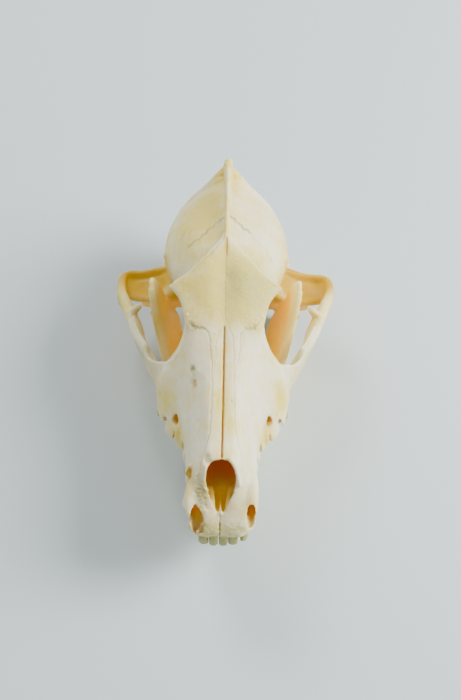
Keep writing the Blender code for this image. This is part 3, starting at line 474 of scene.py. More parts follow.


# Sutures, slits and rims as lines on the skin: (points, half width, depth, wander, darkness). A
# line strays up to its wander to each side, and its points are drawn to the nearest bone. A
# suture's darkness is dirt in it, and the slit under the nose is dark with painted shade. A rim is
# raised and carries a painted highlight, so its depth and darkness are below zero.
SEAMS = [
    ([(0.1, -78, 22.6), (0.1, -74.6, 24.4), (0.1, -60, 28.4), (0.1, -40, 33.4), (0, -24, 39),
        (0, -16, 42.2)], 0.42, 1.3, 0.05, 1),
    ([(0, -16, 42.2), (0.2, -8, 45.6), (-0.1, 0, 49.4), (0, 8, 53.4),
        (0, 15.5, 55.8)], 0.2, 0.12, 0.25, 0.4),
    ([(0, 15.5, 55.8), (0.1, 20, 56.8), (0, 24.6, 57.4)], 0.36, 0.5, 0.05, 0.9),
    ([(1.7, -16, 42.3), (3.7, -21, 40.2), (4.5, -33.2, 35.5), (4.7, -42, 32.9), (5.2, -57.6, 28.5),
        (5.9, -62.8, 26.8), (7.5, -69.6, 24.1), (8.4, -77.3, 20)], 0.22, 0.14, 0.22, 0.42),
    ([(8.3, -16.3, 41.9), (6.7, -20, 40.3), (6.8, -25.3, 37.8),
        (5.1, -34.9, 34.8)], 0.24, 0.14, 0.25, 0.42),
    ([(-0.7, -15.6, 42.4), (-3.1, -20, 40.6), (-3.7, -30.8, 36.4),
        (-4.5, -46.9, 31.7)], 0.2, 0.12, 0.2, 0.3),
    ([(-8.3, -16.7, 41.7), (-6.4, -19.8, 40.5), (-5.9, -25.2, 38.1), (-4.9, -33.4, 35.3),
        (-4.6, -48.7, 31.3), (-4.8, -56.2, 29), (-5.4, -64.6, 26.6), (-7.5, -71.8, 23.7),
        (-8.3, -77.6, 19.9)], 0.26, 0.18, 0.25, 0.5),
    ([(-15.2, -13, 41.8), (-13, -15.4, 41.2), (-11.3, -16.1, 41.3),
        (-8.3, -16.7, 41.7)], 0.45, 0.25, 0.5, 0.6),
    ([(14.7, -12.5, 42.3), (12.6, -15.4, 41.4), (11.3, -16, 41.4),
        (8.3, -16.3, 41.9)], 0.36, 0.2, 0.5, 0.42),
    ([(-1.6, 41, 56.5), (-4, 38.3, 55.6), (-8.4, 34.5, 53.9), (-11.9, 30.8, 52.3),
        (-17.1, 28.5, 48.9)], 0.4, 0.22, 0.8, 0.6),
    ([(1.6, 41.4, 56.4), (2.7, 41.3, 55.7), (6.8, 36.3, 54.7),
        (10.8, 34.7, 53)], 0.5, 0.3, 0.8, 0.8),
    ([(10.8, 34.7, 53), (12.7, 30.7, 52), (18.6, 27.5, 47.3),
        (20.5, 25, 44.3)], 0.22, 0.1, 0.6, 0.3),
    *two_sided([(-27, -20, 21), (-28.6, -24, 14), (-27.6, -28, 6)], 0.22, 0.1, 0.5, 0.3),
    *two_sided([(-44, 13, 14), (-42.8, 8, 20), (-41.6, 12, 24)], 0.2, 0.12, 0.4, 0.45),
    *two_sided([(26.8, 36, 32), (27.6, 46, 28), (27, 56, 27), (24, 66, 30)], 0.26, 0.14, 0.7, 0.4),
    ([(0, -84, 2.4), (0, -60, 3.2), (0, -40, 4.4), (0, -14, 4.8)], 0.24, 0.16, 0.2, 0.5),
    ([(-12, -32, 4), (-6, -37, 4.4), (0, -38, 4.5), (6, -37, 4.4),
        (12, -32, 4)], 0.24, 0.14, 0.5, 0.4),
    *two_sided([(-15.6, -9, 42), (-16.8, -14, 38.6), (-18, -19.4, 33.9), (-20.2, -21.4, 30),
        (-22.6, -21.5, 26.3), (-26.4, -18.6, 22), (-31, -13, 19.8), (-36, -4, 21),
        (-39.6, 6, 24)], 0.5, -0.35, 0.1, -0.8),
    *two_sided([(-1, 27, 57.4), (-4.5, 22, 56.2), (-8, 17, 54.8), (-12, 12.5, 53.2),
        (-17.2, 8.5, 50), (-22.5, 6, 47.4)], 0.5, -0.35, 0.2, -0.8),
    ([(-0.1, -91.6, 3.8), (-0.1, -93, 2), (-0.1, -94.4, -0.6)], 0.34, 0.7, 0.05, 1),
    ([(-0.1, -87.4, 8), (-0.1, -89.4, 5.6), (-0.1, -91.6, 3.8)], 0.3, 0.2, 0.1, 0.35),
]

# Small dents and bumps: centre, radius, depth (a bump is below zero), darkness. The darkness
# is painted shade in the pits.
DENTS = [
    ((-13, -31, 31.4), 1, 0.5, 0.35), ((-12.8, -33.6, 30.6), 0.8, 0.4, 0.35),
    ((-12, -36.5, 29.6), 0.6, 0.7, 1), ((-12.1, -38.2, 28.8), 1.1, 0.8, 0.55),
    ((-10.5, -33.3, 32.7), 0.7, -0.3, 0), ((-10.1, -54.4, 24.5), 0.45, 0.6, 1),
    ((-8.9, -71.9, 21.9), 0.45, 0.5, 0.9), ((12.8, -47.9, 22.4), 0.5, 0.4, 0.6),
    ((-4.4, -19.2, 41), 0.5, 0.3, 0.3), ((3.6, -49, 31.3), 0.4, 0.3, 0.5),
    ((-15, -12, 42), 0.7, -0.35, 0), ((-12.4, -14, 42), 0.6, -0.3, 0),
    ((13, -13.6, 42.2), 0.6, -0.3, 0), ((0.8, 78, 54.6), 1.4, -0.5, 0),
    ((-1, 86, 52), 1.2, -0.4, 0), ((-27.4, 37.4, 36), 2.2, -1.3, 0),
    ((27.4, 37.4, 35.6), 2.2, -1.3, 0), ((17, -30, 27), 0.4, 0.3, 0.5),
    ((-17.4, -27, 28), 0.4, 0.3, 0.4),
]

# Rough, crumbled or rubbed bone: centre, radius, height of the roughness.
ROUGH = [
    ((-7, -82.5, 13.5), 3.2, 0.9), ((-6, -87.4, 9), 2.6, 0.45), ((-9, -78, 18), 2, 0.5),
    ((-5, -92.8, 2.4), 2.6, 0.26), ((0, -93.2, 2), 2.6, 0.26), ((5, -92.8, 2.4), 2.6, 0.26),
    ((9, -91.8, 3), 2.2, 0.24), ((13.4, -90.8, 1.4), 2, 0.5), ((-12.6, -89, 2.4), 2, 0.4),
    ((0, 86, 51), 6, 0.45), ((0, 76, 54), 5, 0.3), ((-14, -14, 41), 3, 0.3),
    ((14, -14, 41), 3, 0.25), ((-16, -77, 6), 4, 0.5), *two_sided((-21, -44, 3), 3, 0.5),
    *two_sided((42, 10, 22), 3, 0.25),
]

# Stains and painted light: centre, radii, strength. Amber is a painted glow and painted shade,
# where light comes through thin bone and on faces turned from the lamps. Olive is partly greenish
# stain and partly painted shade. Straw is yellow.
STAINS_AND_PAINTED_LIGHT = {
    "amber": [
        ((38, 41, 15), (15, 10, 13), 2.6), ((-38, 41, 15), (15, 10, 13), 1.9),
        *two_sided((21, 32, 14), (8, 14, 12), 1.3), ((0, -79.5, 6.4), (7.2, 8, 6), 1.4),
        ((-13.2, -74.5, 12), (1.7, 4.6, 4.6), 0.9), ((-17.6, -39, 10), (2.6, 4, 3), 1.3),
        ((18, -39, 10), (2.6, 4, 3), 1.3), ((-12.1, -37.6, 29), (1.3, 1.8, 1.6), 0.9),
        ((12.6, -84, 4.4), (2.2, 8, 5), 0.6), ((-9, -88, 3), (3, 6, 5), 0.8),
        ((0, 33, 20), (14, 20, 8), 0.8), *two_sided((20, 2, 12), (7, 10, 8), 0.9),
        ((0, 20.5, 57), (0.9, 5, 1.4), 0.8), ((12.6, -87, 1), (1.6, 3, 3), 0.6),
        *two_sided((28, -12, 12), (4, 8, 5), 0.7),
    ],
    # Olive: greenish stain on crumbled bone, and painted shade on the forehead, on the inner faces of
    # the cheek arches and in a tooth socket.
    "olive": [
        ((-7, -83, 13), (3.4, 7, 5), 1.4), ((-5, -93, 1.6), (8, 3, 3.4), 1.3),
        ((6, -93, 1.6), (8, 3, 3.4), 1.1), ((8, -88, 7), (5, 5, 5), 0.5),
        ((-13, -14.6, 41.6), (4, 2.6, 3), 0.8), ((12.6, -15, 41.6), (4, 2.6, 3), 0.5),
        ((-13, -32.6, 31), (1.4, 3.6, 2.6), 0.7), ((-37, -2, 16), (4, 14, 6), 0.9),
        ((37, -2, 16), (4, 14, 6), 0.7), ((-13, -62, 12), (4, 16, 6), 0.3),
        ((11, 2, 50), (20, 16, 12), 0.9), ((-12, -78, 14), (3, 6, 5), 0.5),
        ((-40, 14, 24), (2.4, 3, 3), 1), ((11, -72, 18), (3, 8, 5), 0.3),
        ((-15, -90, 0), (3, 5, 4), 0.7),
    ],
    "straw": [
        ((-25, -31, 14), (5, 8, 8), 0.9), ((26, -31, 13), (5, 8, 8), 0.9),
        *two_sided((-19.7, -46, 7), (5, 7, 5), 0.9), ((0, 80, 52), (12, 16, 9), 1.1),
        ((-27, 42, 28), (6, 18, 14), 1), ((27, 42, 28), (6, 18, 14), 0.9),
        ((4, 2, 50), (24, 18, 14), 1.5), ((46, 30, 18), (8, 24, 10), 0.7),
        ((-46, 30, 18), (8, 24, 10), 0.9), ((0, 46, 58), (2.4, 34, 5), 0.8),
        ((-12, 46, 50), (16, 30, 14), 1), ((12, 56, 50), (16, 20, 14), 0.35),
        ((0, -50, 31), (4.6, 44, 9), 0.7), ((-13.4, -78, 9), (2.4, 5, 5), 1.2),
        ((14, -82, 8), (2, 8, 6), 0.3), *two_sided((-21, -20, 29), (4, 5, 6), 0.6),
    ],
}

# A bone scroll on each side of the nose, the wall between, and the thin splint of its right rim.
SCROLL = [
    (2.6, -87, 6.6, 1.6, 1, 10), (3.3, -83.4, 7.6, 3, 1.7, 30), (4, -79, 8.4, 3.2, 1.9, 40),
    (4.5, -75.4, 7.8, 2.2, 1.3, 40), (4.8, -73.4, 5.6, 0.8, 0.6, 40),
]
SEPTUM = [
    (0.1, -89.4, 6.6, 1.6, 0.9), (0.1, -84, 6.4, 2, 0.8), (0.1, -79.6, 5.8, 1.4, 0.7),
    (0.1, -77.4, 4.4, 0.8, 0.5),
]
BARED_SOCKET = [
    (-15.4, -81.4, 7.6, 2.4, 2), (-14.2, -78.4, 10.4, 5, 3), (-13.2, -75, 13.4, 5, 3),
    (-12.4, -72.4, 15.8, 2.2, 1.8),
]
SPLINT = [
    (3, -74.4, 25, 1.8, 2.4), (5.4, -77, 22.8, 1.6, 1.9), (6.9, -79.6, 18.8, 1.6, 1.6),
    (7.7, -81.6, 15.2, 1.3, 1.2),
]


def on_skin(points, wander, tree):
    """The line at every half millimetre or so, moved onto the bone. It strays sideways by the sum
    of two sines of its number, so a suture wriggles."""
    line = smooth_path(points, 14)
    ahead = np.gradient(line, axis=0)
    ahead /= np.linalg.norm(ahead, axis=1)[:, None]
    met = [tree.find_nearest(place) for place in line.tolist()]
    sideways = np.cross(ahead, np.array([hit[1] for hit in met]))
    count = np.arange(len(line))
    stray = 0.6 * np.sin(count * 1.7 + len(points)) + 0.5 * np.sin(count * 0.61 + 2.0 * len(points))
    line = np.array([hit[0] for hit in met]) + sideways * (wander * stray)[:, None]
    return np.array([tree.find_nearest(place)[0] for place in line.tolist()])


def near_line(points, line, reach):
    """Which points lie within reach of a line, and how far off it each is: the least, over the
    line's stretches, of the distance from the point to the nearest place on the stretch."""
    low, high = line.min(0) - reach, line.max(0) + reach
    picked = np.flatnonzero(((points > low) & (points < high)).all(1))
    start, way = line[:-1], np.diff(line, axis=0)
    away = points[picked, None] - start
    share = np.clip((away * way).sum(2) / np.maximum((way * way).sum(1), 1e-9), 0, 1)
    off = np.linalg.norm(away - share[..., None] * way, axis=2).min(1)
    close = off < reach
    return picked[close], off[close]


def blob(points, centre, radii):
    """exp(-(distance / radii) squared), with a radius for each axis or one for all."""
    return np.exp(-(((points - centre) / np.maximum(radii, 0.01)) ** 2).sum(1))


def joined(piece, grids):
    """Lays more closed shells into a piece, before it is fused again."""
    more = mesh_object("more", grids)
    bm = bmesh.new()
    bm.from_mesh(piece.data)
    bm.from_mesh(more.data)
    bm.to_mesh(piece.data)
    bm.free()
    bpy.data.objects.remove(more)


def rippled(points, size):
    """Smooth noise between about -1 and 1 at each point, with features of this size."""
    return np.array([noise.noise(place) for place in (points / size).tolist()]) * 1.7


solid = [section_grid(FACE), section_grid(BRAINCASE), strap_grid(SAGITTAL_CREST)]
solid.append(strap_grid(OCCIPUT_KEEL, across=SIDEWAYS))
paired = [CHEEK_ARCH, ARCH_SHELF, BEHIND_JOINT, ORBIT_SPUR, EAR_SWELLING]
paired += [NUCHAL_CREST, OCCIPUT_PLATE, PTERYGOID, CANINE_SWELLING]
solid += both([strap_grid(rows) for rows in paired])
solid += both([strap_grid(rows, across=SIDEWAYS) for rows in (BESIDE_CONDYLE, CARNASSIAL_SWELLING)])
solid += both([ball_grid(*ball) for ball in BALLS.values()])
hollow = [section_grid(rows) for rows in (NOSE_CAVITY, BRAIN_HOLLOW, THROAT)]
hollow.append(strap_grid(NOSE_TO_THROAT))
hollow += both([ball_grid(*ball) for ball in ROUND_CUTS.values()])
hollow += both([strap_grid(rows) for rows in TUBE_CUTS.values()])
hollow += both([strap_grid(rows, across=SIDEWAYS) for rows in UPPER_SOCKETS.values()])
hollow += [strap_grid(rows, across=SIDEWAYS) for rows in (LEFT_CANINE_SOCKET, RIGHT_CANINE_SOCKET)]
hollow += [ball_grid(*ball) for ball in RIGHT_ROUND_CUTS.values()]
hollow.append(strap_grid(BARED_SOCKET, across=SIDEWAYS))

cranium = mesh_object("skull_cranium", solid)
fuse(cranium, CRANIUM_VOXEL)
hollows = mesh_object("hollows", hollow)
fuse(hollows, CRANIUM_VOXEL)
cut(cranium, hollows)
nose_bones = both([strap_grid(SCROLL)])
nose_bones += [strap_grid(SEPTUM, across=SIDEWAYS), strap_grid(SPLINT)]
joined(cranium, nose_bones)
fuse(cranium, CRANIUM_VOXEL)
soften(cranium, 0.5, 6)

skin = tree_of(cranium.data)
lines = [
    (on_skin(points, wander, skin), width, depth, darkness)
    for points, width, depth, wander, darkness in SEAMS
]


# A line is felt as far as this many times its half width.
LINE_REACH = 3


def refine_near(piece, lines, reach):
    """Splits every edge near the lines in three."""
    points = points_of(piece.data)
    close = np.zeros(len(points), bool)
    for line, *_ in lines:
        close[near_line(points, line, reach)[0]] = True
    bm = bmesh.new()
    bm.from_mesh(piece.data)
    edges = [edge for edge in bm.edges if close[edge.verts[0].index] and close[edge.verts[1].index]]
    bmesh.ops.subdivide_edges(bm, edges=edges, cuts=2, use_grid_fill=True)
    bmesh.ops.triangulate(bm, faces=[face for face in bm.faces if len(face.verts) > 4])
    bm.to_mesh(piece.data)
    bm.free()


def press_in(piece, lines):
    """Each line sinks, or rises where its depth is below zero, by depth times exp(-(distance / half
    width) squared), each dent the same way by its radius, and each rough place rises and falls by
    noise with features of 1.1 and 2.6 mm. The whole skin ripples a little, by 5 and 2 mm."""
    points, normals = points_of(piece.data), normals_of(piece.data)
    sunk = np.zeros(len(points))
    for line, width, depth, _ in lines:
        picked, off = near_line(points, line, LINE_REACH * width)
        press = depth * np.exp(-((off / width) ** 2))
        sunk[picked] = np.maximum(sunk[picked], press) if depth > 0 else sunk[picked] + press
    for centre, radius, depth, _ in DENTS:
        sunk += depth * blob(points, centre, radius)
    rough = sum(height * blob(points, centre, radius) for centre, radius, height in ROUGH)
    where = np.flatnonzero(rough > 0.02)
    crumbs = 0.55 * rippled(points[where], 1.1) + 0.6 * rippled(points[where] + 40, 2.6)
    sunk[where] += rough[where] * crumbs
    sunk += 0.10 * rippled(points, 5.0) + 0.05 * rippled(points + 70, 2.0)
    put_points(piece.data, points - normals * sunk[:, None])


def darkness_of(points, lines, sign=1):
    """How dark the lines and dents make each point, with dirt in the sutures and painted shade in the
    slit and the pits; or with sign -1, how much painted highlight the rims get.
    """
    dark = np.zeros(len(points))
    for line, width, _, darkness in lines:
        picked, off = near_line(points, line, LINE_REACH * width)
        shade = darkness * sign * np.exp(-((off / width) ** 2))
        dark[picked] = np.maximum(dark[picked], shade)
    for centre, radius, _, darkness in DENTS:
        dark = np.maximum(dark, darkness * sign * blob(points, centre, radius * 0.9))
    return dark


def paint_stains_and_light(mesh, stains_and_light):
    """Stores each kind of stain and of painted light and shade: the greatest strength of its blobs at
    each point.
    """
    points = points_of(mesh)
    for kind, places in stains_and_light.items():
        found = np.zeros(len(points))
        for centre, radii, strength in places:
            found = np.maximum(found, strength * blob(points, centre, np.array(radii, float)))
        put_values(mesh, kind, np.minimum(found, 1))


refine_near(cranium, lines, reach=1.3)
press_in(cranium, lines)
thin_faces(cranium, CRANIUM_TRIANGLES)
cranium.data.validate()
# Dark sutures, and painted shade in the pits and the slit under the nose.
put_values(cranium.data, "seam", darkness_of(points_of(cranium.data), lines))
# A painted highlight along the rims.
put_values(cranium.data, "pale", darkness_of(points_of(cranium.data), lines, -1))
# Painted shade: the more shut in a point is, the more it turns amber and then dark red.
# Nothing above OPEN_TOP, in millimetres, counts as shut in. Below, that fades in over FADE mm.
OPEN_TOP, FADE = 48, 10
open_top = np.clip((OPEN_TOP - points_of(cranium.data)[:, 2]) / FADE, 0, 1)
put_values(cranium.data, "deep", sunkenness(cranium.data) * open_top)
paint_stains_and_light(cranium.data, STAINS_AND_PAINTED_LIGHT)
stand_up(cranium)


def node_group(name, takes, gives):
    """An empty shader group with these named sockets, as (name, kind, starting value)."""
    group = bpy.data.node_groups.new(name, "ShaderNodeTree")
    for label, kind, value in takes:
        group.interface.new_socket(label, in_out="INPUT", socket_type=kind).default_value = value
    for label, kind in gives:
        group.interface.new_socket(label, in_out="OUTPUT", socket_type=kind)
    return group, group.nodes.new("NodeGroupInput"), group.nodes.new("NodeGroupOutput")


def set_inputs(node, values):
    for label, value in dict(values).items():
        node.inputs[label].default_value = value


def add(tree, kind, values=(), **settings):
    """A node with its settings and its input values."""
    node = tree.nodes.new(kind)
    for label, value in settings.items():
        setattr(node, label, value)
    set_inputs(node, values)
    return node


def blended(tree, share, low, high):
    """A colour mixed from low to high by share. Each is a socket or a plain value."""
    node = add(tree, "ShaderNodeMix", data_type="RGBA")
    for socket, value in ((node.inputs[0], share), (node.inputs[6], low), (node.inputs[7], high)):
        if isinstance(value, bpy.types.NodeSocket):
            tree.links.new(value, socket)
        else:
            socket.default_value = value
    return node.outputs[2]


def ranged(tree, value, low, high, to_low=0.0, to_high=1.0):
    node = add(tree, "ShaderNodeMapRange", {1: low, 2: high, 3: to_low, 4: to_high})
    tree.links.new(value, node.inputs[0])
    return node.outputs[0]


def reckoned(tree, kind, *values):
    """One arithmetic step on sockets or numbers."""
    node = add(tree, "ShaderNodeMath", operation=kind)
    for socket, value in zip(node.inputs, values):
        if isinstance(value, bpy.types.NodeSocket):
            tree.links.new(value, socket)
        else:
            socket.default_value = value
    return node.outputs[0]


def in_millimetres(tree, stretch=(1.0, 1.0, 1.0)):
    """The Object coordinates in millimetres, stretched along the axes."""
    where = tree.nodes.new("ShaderNodeTexCoord")
    scale = add(tree, "ShaderNodeMapping", {"Scale": tuple(1000 * side for side in stretch)})
    tree.links.new(where.outputs["Object"], scale.inputs["Vector"])
    return scale.outputs["Vector"]


def cloudy(tree, where, scale, detail=3.0, roughness=0.55):
    values = {"Scale": scale, "Detail": detail, "Roughness": roughness}
    clouds = add(tree, "ShaderNodeTexNoise", values)
    tree.links.new(where, clouds.inputs["Vector"])
    return clouds.outputs["Fac"]


def new_material(name):
    made = bpy.data.materials.new(name)
    made.use_nodes = True
    return made, made.node_tree, made.node_tree.nodes["Principled BSDF"]


# Bone: ivory with soft clouds and streaks of straw, and a painted highlight along the rims.
# Shut-in places get painted shade in amber and dark red, and light-struck thin places a painted
# amber glow; both also shine as emission. Some places turn olive, partly greenish stain and partly
# painted shade. Dirt stays in the seams and pores, with painted shade in the pits and the slit.
COLOURS = ("Ivory", "Straw", "Amber", "Painted_Ember", "Olive", "Dirt_And_Shade")
SHARES = ("Deep", "Seam", "Pale", "Amber", "Olive", "Straw")
BLACK, PAINTED_HIGHLIGHT_BONE = (0, 0, 0, 1), (0.95, 0.93, 0.74, 1)


def make_bone_group():
    takes = [(label, "NodeSocketColor", BLACK) for label in COLOURS]
    takes += [(label + " Share", "NodeSocketFloat", 0.0) for label in SHARES]
    gives = [(label, "NodeSocketColor") for label in ("Colour", "Glow")]
    gives += [(label, "NodeSocketFloat") for label in ("Roughness", "Height")]
    group, given, made = node_group("bone_look", takes, gives)
    has = given.outputs

    def times(a, b):
        return reckoned(group, "MULTIPLY", a, b)

    where = in_millimetres(group)
    along = in_millimetres(group, (1.0, 0.22, 1.0))
    clouds = ranged(group, cloudy(group, where, 0.09, 4), 0.42, 0.72)
    streaks = ranged(group, cloudy(group, along, 0.55, 4, 0.6), 0.45, 0.75)
    grain = cloudy(group, along, 2.4, 5, 0.65)
    mottle = cloudy(group, where, 1.1, 3, 0.6)
    straw = reckoned(group, "ADD", times(clouds, 0.45), times(streaks, 0.4))
    patches = times(has["Straw Share"], ranged(group, mottle, 0.2, 0.7, 0.6, 1.2))
    straw = reckoned(group, "ADD", straw, patches)
    straw = reckoned(group, "MINIMUM", straw, 1.0)
    colour = blended(group, straw, has["Ivory"], has["Straw"])
    olive = times(has["Olive Share"], ranged(group, mottle, 0.3, 0.6, 0.35, 1.0))
    colour = blended(group, olive, colour, has["Olive"])
    # Painted shade: shut-in places turn amber, and the most shut in dark red. Light-struck thin places
    # get a painted amber glow as well.
    deep = ranged(group, has["Deep Share"], 0.22, 0.62)
    amber = times(has["Amber Share"], ranged(group, mottle, 0.2, 0.7, 0.94, 1.0))
    painted_warmth = reckoned(group, "MAXIMUM", deep, amber)
    colour = blended(group, painted_warmth, colour, has["Amber"])
    painted_ember = ranged(group, has["Deep Share"], 0.42, 0.72)
    painted_ember = reckoned(group, "SUBTRACT", painted_ember, has["Amber Share"])
    painted_ember = reckoned(group, "MAXIMUM", painted_ember, 0.0)
    colour = blended(group, painted_ember, colour, has["Painted_Ember"])
    # A painted highlight along the rims.
    colour = blended(group, has["Pale Share"], colour, PAINTED_HIGHLIGHT_BONE)
    # Dirt in the sutures, and painted shade in the pits and the slit.
    colour = blended(group, has["Seam Share"], colour, has["Dirt_And_Shade"])
    pores = ranged(group, cloudy(group, where, 3.4, 2, 0.5), 0.66, 0.74)
    colour = blended(group, times(pores, 0.25), colour, has["Dirt_And_Shade"])
    # Painted glow: the light-struck amber places and the dark red hollows shine as emission, though no
    # lamp is there. Nothing shines in the seams or pits.
    glow = blended(group, times(has["Amber Share"], 0.28), BLACK, has["Amber"])
    glow = blended(group, times(painted_ember, 0.5), glow, has["Painted_Ember"])
    glow = blended(group, has["Seam Share"], glow, BLACK)
    polish = ranged(group, grain, 0.3, 0.7, 0.40, 0.56)
    height = reckoned(group, "SUBTRACT", grain, times(pores, 0.6))
    for (label, _), value in zip(gives, (colour, glow, polish, height)):
        group.links.new(value, made.inputs[label])
    return group


bone_look = make_bone_group()


def bone_material(name, ivory, straw, amber):
    """Bone in these colours, which lets light a little way into it."""
    made, tree, shader = new_material(name)
    look = add(tree, "ShaderNodeGroup", node_tree=bone_look)
    # The amber and dark red colours are those of the painted glow and shade. The olive is partly
    # painted shade, and the dirt colour is also painted shade in the pits and the slit.
    colours = {
        "Ivory": ivory, "Straw": straw, "Amber": amber,
        "Painted_Ember": (0.42, 0.075, 0.004), "Olive": (0.50, 0.47, 0.16), "Dirt_And_Shade": (0.20, 0.13, 0.02),
    }
    set_inputs(look, {label: (*value, 1) for label, value in colours.items()})
    for label in SHARES:
        stored = add(tree, "ShaderNodeAttribute", attribute_name=label.lower())
        tree.links.new(stored.outputs["Fac"], look.inputs[label + " Share"])
    bump = add(tree, "ShaderNodeBump", {"Strength": 0.45, "Distance": 0.0001})
    tree.links.new(look.outputs["Height"], bump.inputs["Height"])
    tree.links.new(look.outputs["Colour"], shader.inputs["Base Color"])
    tree.links.new(look.outputs["Glow"], shader.inputs["Emission Color"])
    tree.links.new(look.outputs["Roughness"], shader.inputs["Roughness"])
    tree.links.new(bump.outputs["Normal"], shader.inputs["Normal"])
    # The emission lets the painted glow shine.
    set_inputs(shader, {
        "Emission Strength": 1.0, "Specular IOR Level": 0.3, "Subsurface Weight": 0.4,
        "Subsurface Radius": (1.0, 0.55, 0.2), "Subsurface Scale": 0.0018,
    })
    return made


cranium.data.materials.clear()
# Ivory, straw, and the amber of the painted glow and shade.
cranium_colours = ((0.90, 0.86, 0.64), (0.82, 0.66, 0.14), (0.50, 0.295, 0.0))
cranium.data.materials.append(bone_material("cranium_bone", *cranium_colours))
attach(cranium, "root")
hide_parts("cranium")

# ------------------------------------------------------------
# Lower jaw: two loose halves that only meet at the chin, under the cranium. Dry bone, a little
# yellower than the cranium. Each half has its joint head, its tall leaf and its rear hook.
# ------------------------------------------------------------

JAW_BODY = [
    (4.2, -84.6, -12.6, 7.6, 7.6, 10), (5.2, -79, -14.2, 13, 9.6, 8), (6.4, -70, -16, 17, 10.6, 4),
    (9.2, -58, -17.6, 18, 8.2), (11.6, -44, -18.8, 19.6, 7.6, -3),
    (14.2, -30, -18.8, 20.2, 8, -6), (17.2, -15, -17.6, 20.4, 8, -9),
    (19.4, 0, -14.6, 20.2, 7.2, -12), (21.4, 13, -11.4, 20, 5.8, -12), (23, 25, -8, 18, 4.8, -10),
    (24.8, 35, -5, 12, 4.2, -4),
]
JAW_LEAF = [
    (21.6, 15.5, -8, 35, 4.6, -4), (23.8, 17, 2, 31.6, 3.8, -8), (25.8, 17.4, 10, 26, 3.2, -9),
    (27.4, 17.8, 16, 21.6, 2.9, -10), (29, 18, 22, 17, 2.7, -10), (31, 20, 29, 13.4, 2.6, -10),
    (32.8, 20.9, 33.4, 8.4, 2.6, -5), (33.5, 21.4, 35.6, 4, 2.2),
]
JAW_LEAF_EDGE = [
    (22.6, -4, -7, 5, 5.2), (25.6, 1.6, 2, 4.4, 4.8), (28.3, 6, 12, 3.8, 4.2),
    (30.7, 10.2, 22, 3.4, 3.8), (32.2, 14.2, 29.4, 3.2, 3.4), (33.2, 17.6, 33.6, 3, 3.2),
]
JAW_JOINT_HEAD = [
    (18, 38.2, 7.2, 3.4, 4), (21.4, 38.2, 7.4, 5.4, 5.6), (27.6, 38, 7.6, 6.4, 6.4),
    (33.6, 38, 7.6, 6.4, 6.4), (39.2, 38.2, 7.2, 4.6, 5),
]
JAW_NECK = [(23.6, 27, -6, 17, 4.8), (26.6, 31.8, -0.6, 12, 8), (30.2, 36.9, 4.6, 7, 13.2)]
JAW_HOOK = [
    (22.4, 27, -13.4, 8, 4.6), (24, 36, -14.6, 5.8, 4.8), (25.2, 43, -13.6, 5.4, 5),
    (25.8, 48.6, -10.8, 3.8, 3.8), (25.8, 51, -7.8, 1.6, 1.8),
]
JAW_CUTS = {
    "chewing_muscle_hollow": ((32.4, 17, 0), (7.4, 10, 13)),
    "nerve_hole_front": ((11.8, -68, -17), (3.4, 2, 1.6)),
    "nerve_hole_rear": ((13.4, -56, -17.4), (3.4, 1.6, 1.3)),
    "nerve_hole_inner": ((18.6, 15, -8), (3.6, 3, 1.8)),
}
LOWER_SOCKETS = {
    "canine": [(8.6, -86, -4, 9.6, 6.8), (8.6, -80, -10, 8.6, 6), (9, -72, -15, 4, 3.4)],
    "premolar_1": [(10.6, -74, -4, 3.8, 3.2), (10.8, -72.4, -12, 2.6, 2.4)],
}
SYMPHYSIS_GAP = 0.4
JAW_VOXEL = 0.5
JAW_TRIANGLES = 60000
# Stains and painted light on the jaw, as on the cranium: amber is painted glow and shade on the leaves
# and by the joints.
JAW_STAINS_AND_PAINTED_LIGHT = {
    "amber": [
        ((22, 18, 4), (9, 14, 14), 1.5), ((26, 20, 22), (5, 9, 12), 1.3),
        *two_sided((28, 36, 4), (14, 6, 8), 0.9), *two_sided((16, -10, -12), (5, 14, 8), 0.4),
        ((-22, 18, 4), (9, 14, 14), 1.4), ((-26, 20, 22), (5, 9, 12), 0.9),
    ],
    "olive": [*two_sided((24, -2, -6), (5, 6, 8), 0.2)],
    "straw": [
        *two_sided((30, 16, 20), (7, 14, 24), 0.8), *two_sided((10, -60, -18), (8, 30, 10), 0.4),
    ],
}

jaw_solid = [strap_grid(rows) for rows in (JAW_BODY, JAW_NECK, JAW_HOOK, JAW_JOINT_HEAD)]
jaw_solid += [strap_grid(rows, across=SIDEWAYS) for rows in (JAW_LEAF, JAW_LEAF_EDGE)]
jaw_hollow = [ball_grid(*ball) for ball in JAW_CUTS.values()]
jaw_hollow += [strap_grid(rows, across=SIDEWAYS) for rows in LOWER_SOCKETS.values()]
beyond = [(SYMPHYSIS_GAP - 10, y, -15, 60, 20, 0) for y in (-100, -30)]
jaw_hollow.append(strap_grid(beyond, sides=4, squareness=0.02))
# Ivory, straw, and the amber of the painted glow and shade.
jaw_colours = ((0.88, 0.82, 0.52), (0.86, 0.68, 0.14), (0.94, 0.46, 0.0))
jaw_bone = bone_material("jaw_bone", *jaw_colours)


def table_below():
    """A block whose top is the table, in the palate's frame, so the feet come out flat."""
    c, s = math.cos(NOSE_UP), math.sin(NOSE_UP)
    corner = np.array(((-80, -130), (80, -130), (80, 130), (-80, 130)))
    rings = [np.column_stack([corner, np.full(4, z)]) - STANCE for z in (-40.0, 0.0)]
    x, y, z = np.moveaxis(np.array(rings), 2, 0)
    return mesh_object("table", [np.stack([x, y * c - z * s, z * c + y * s], 2)])


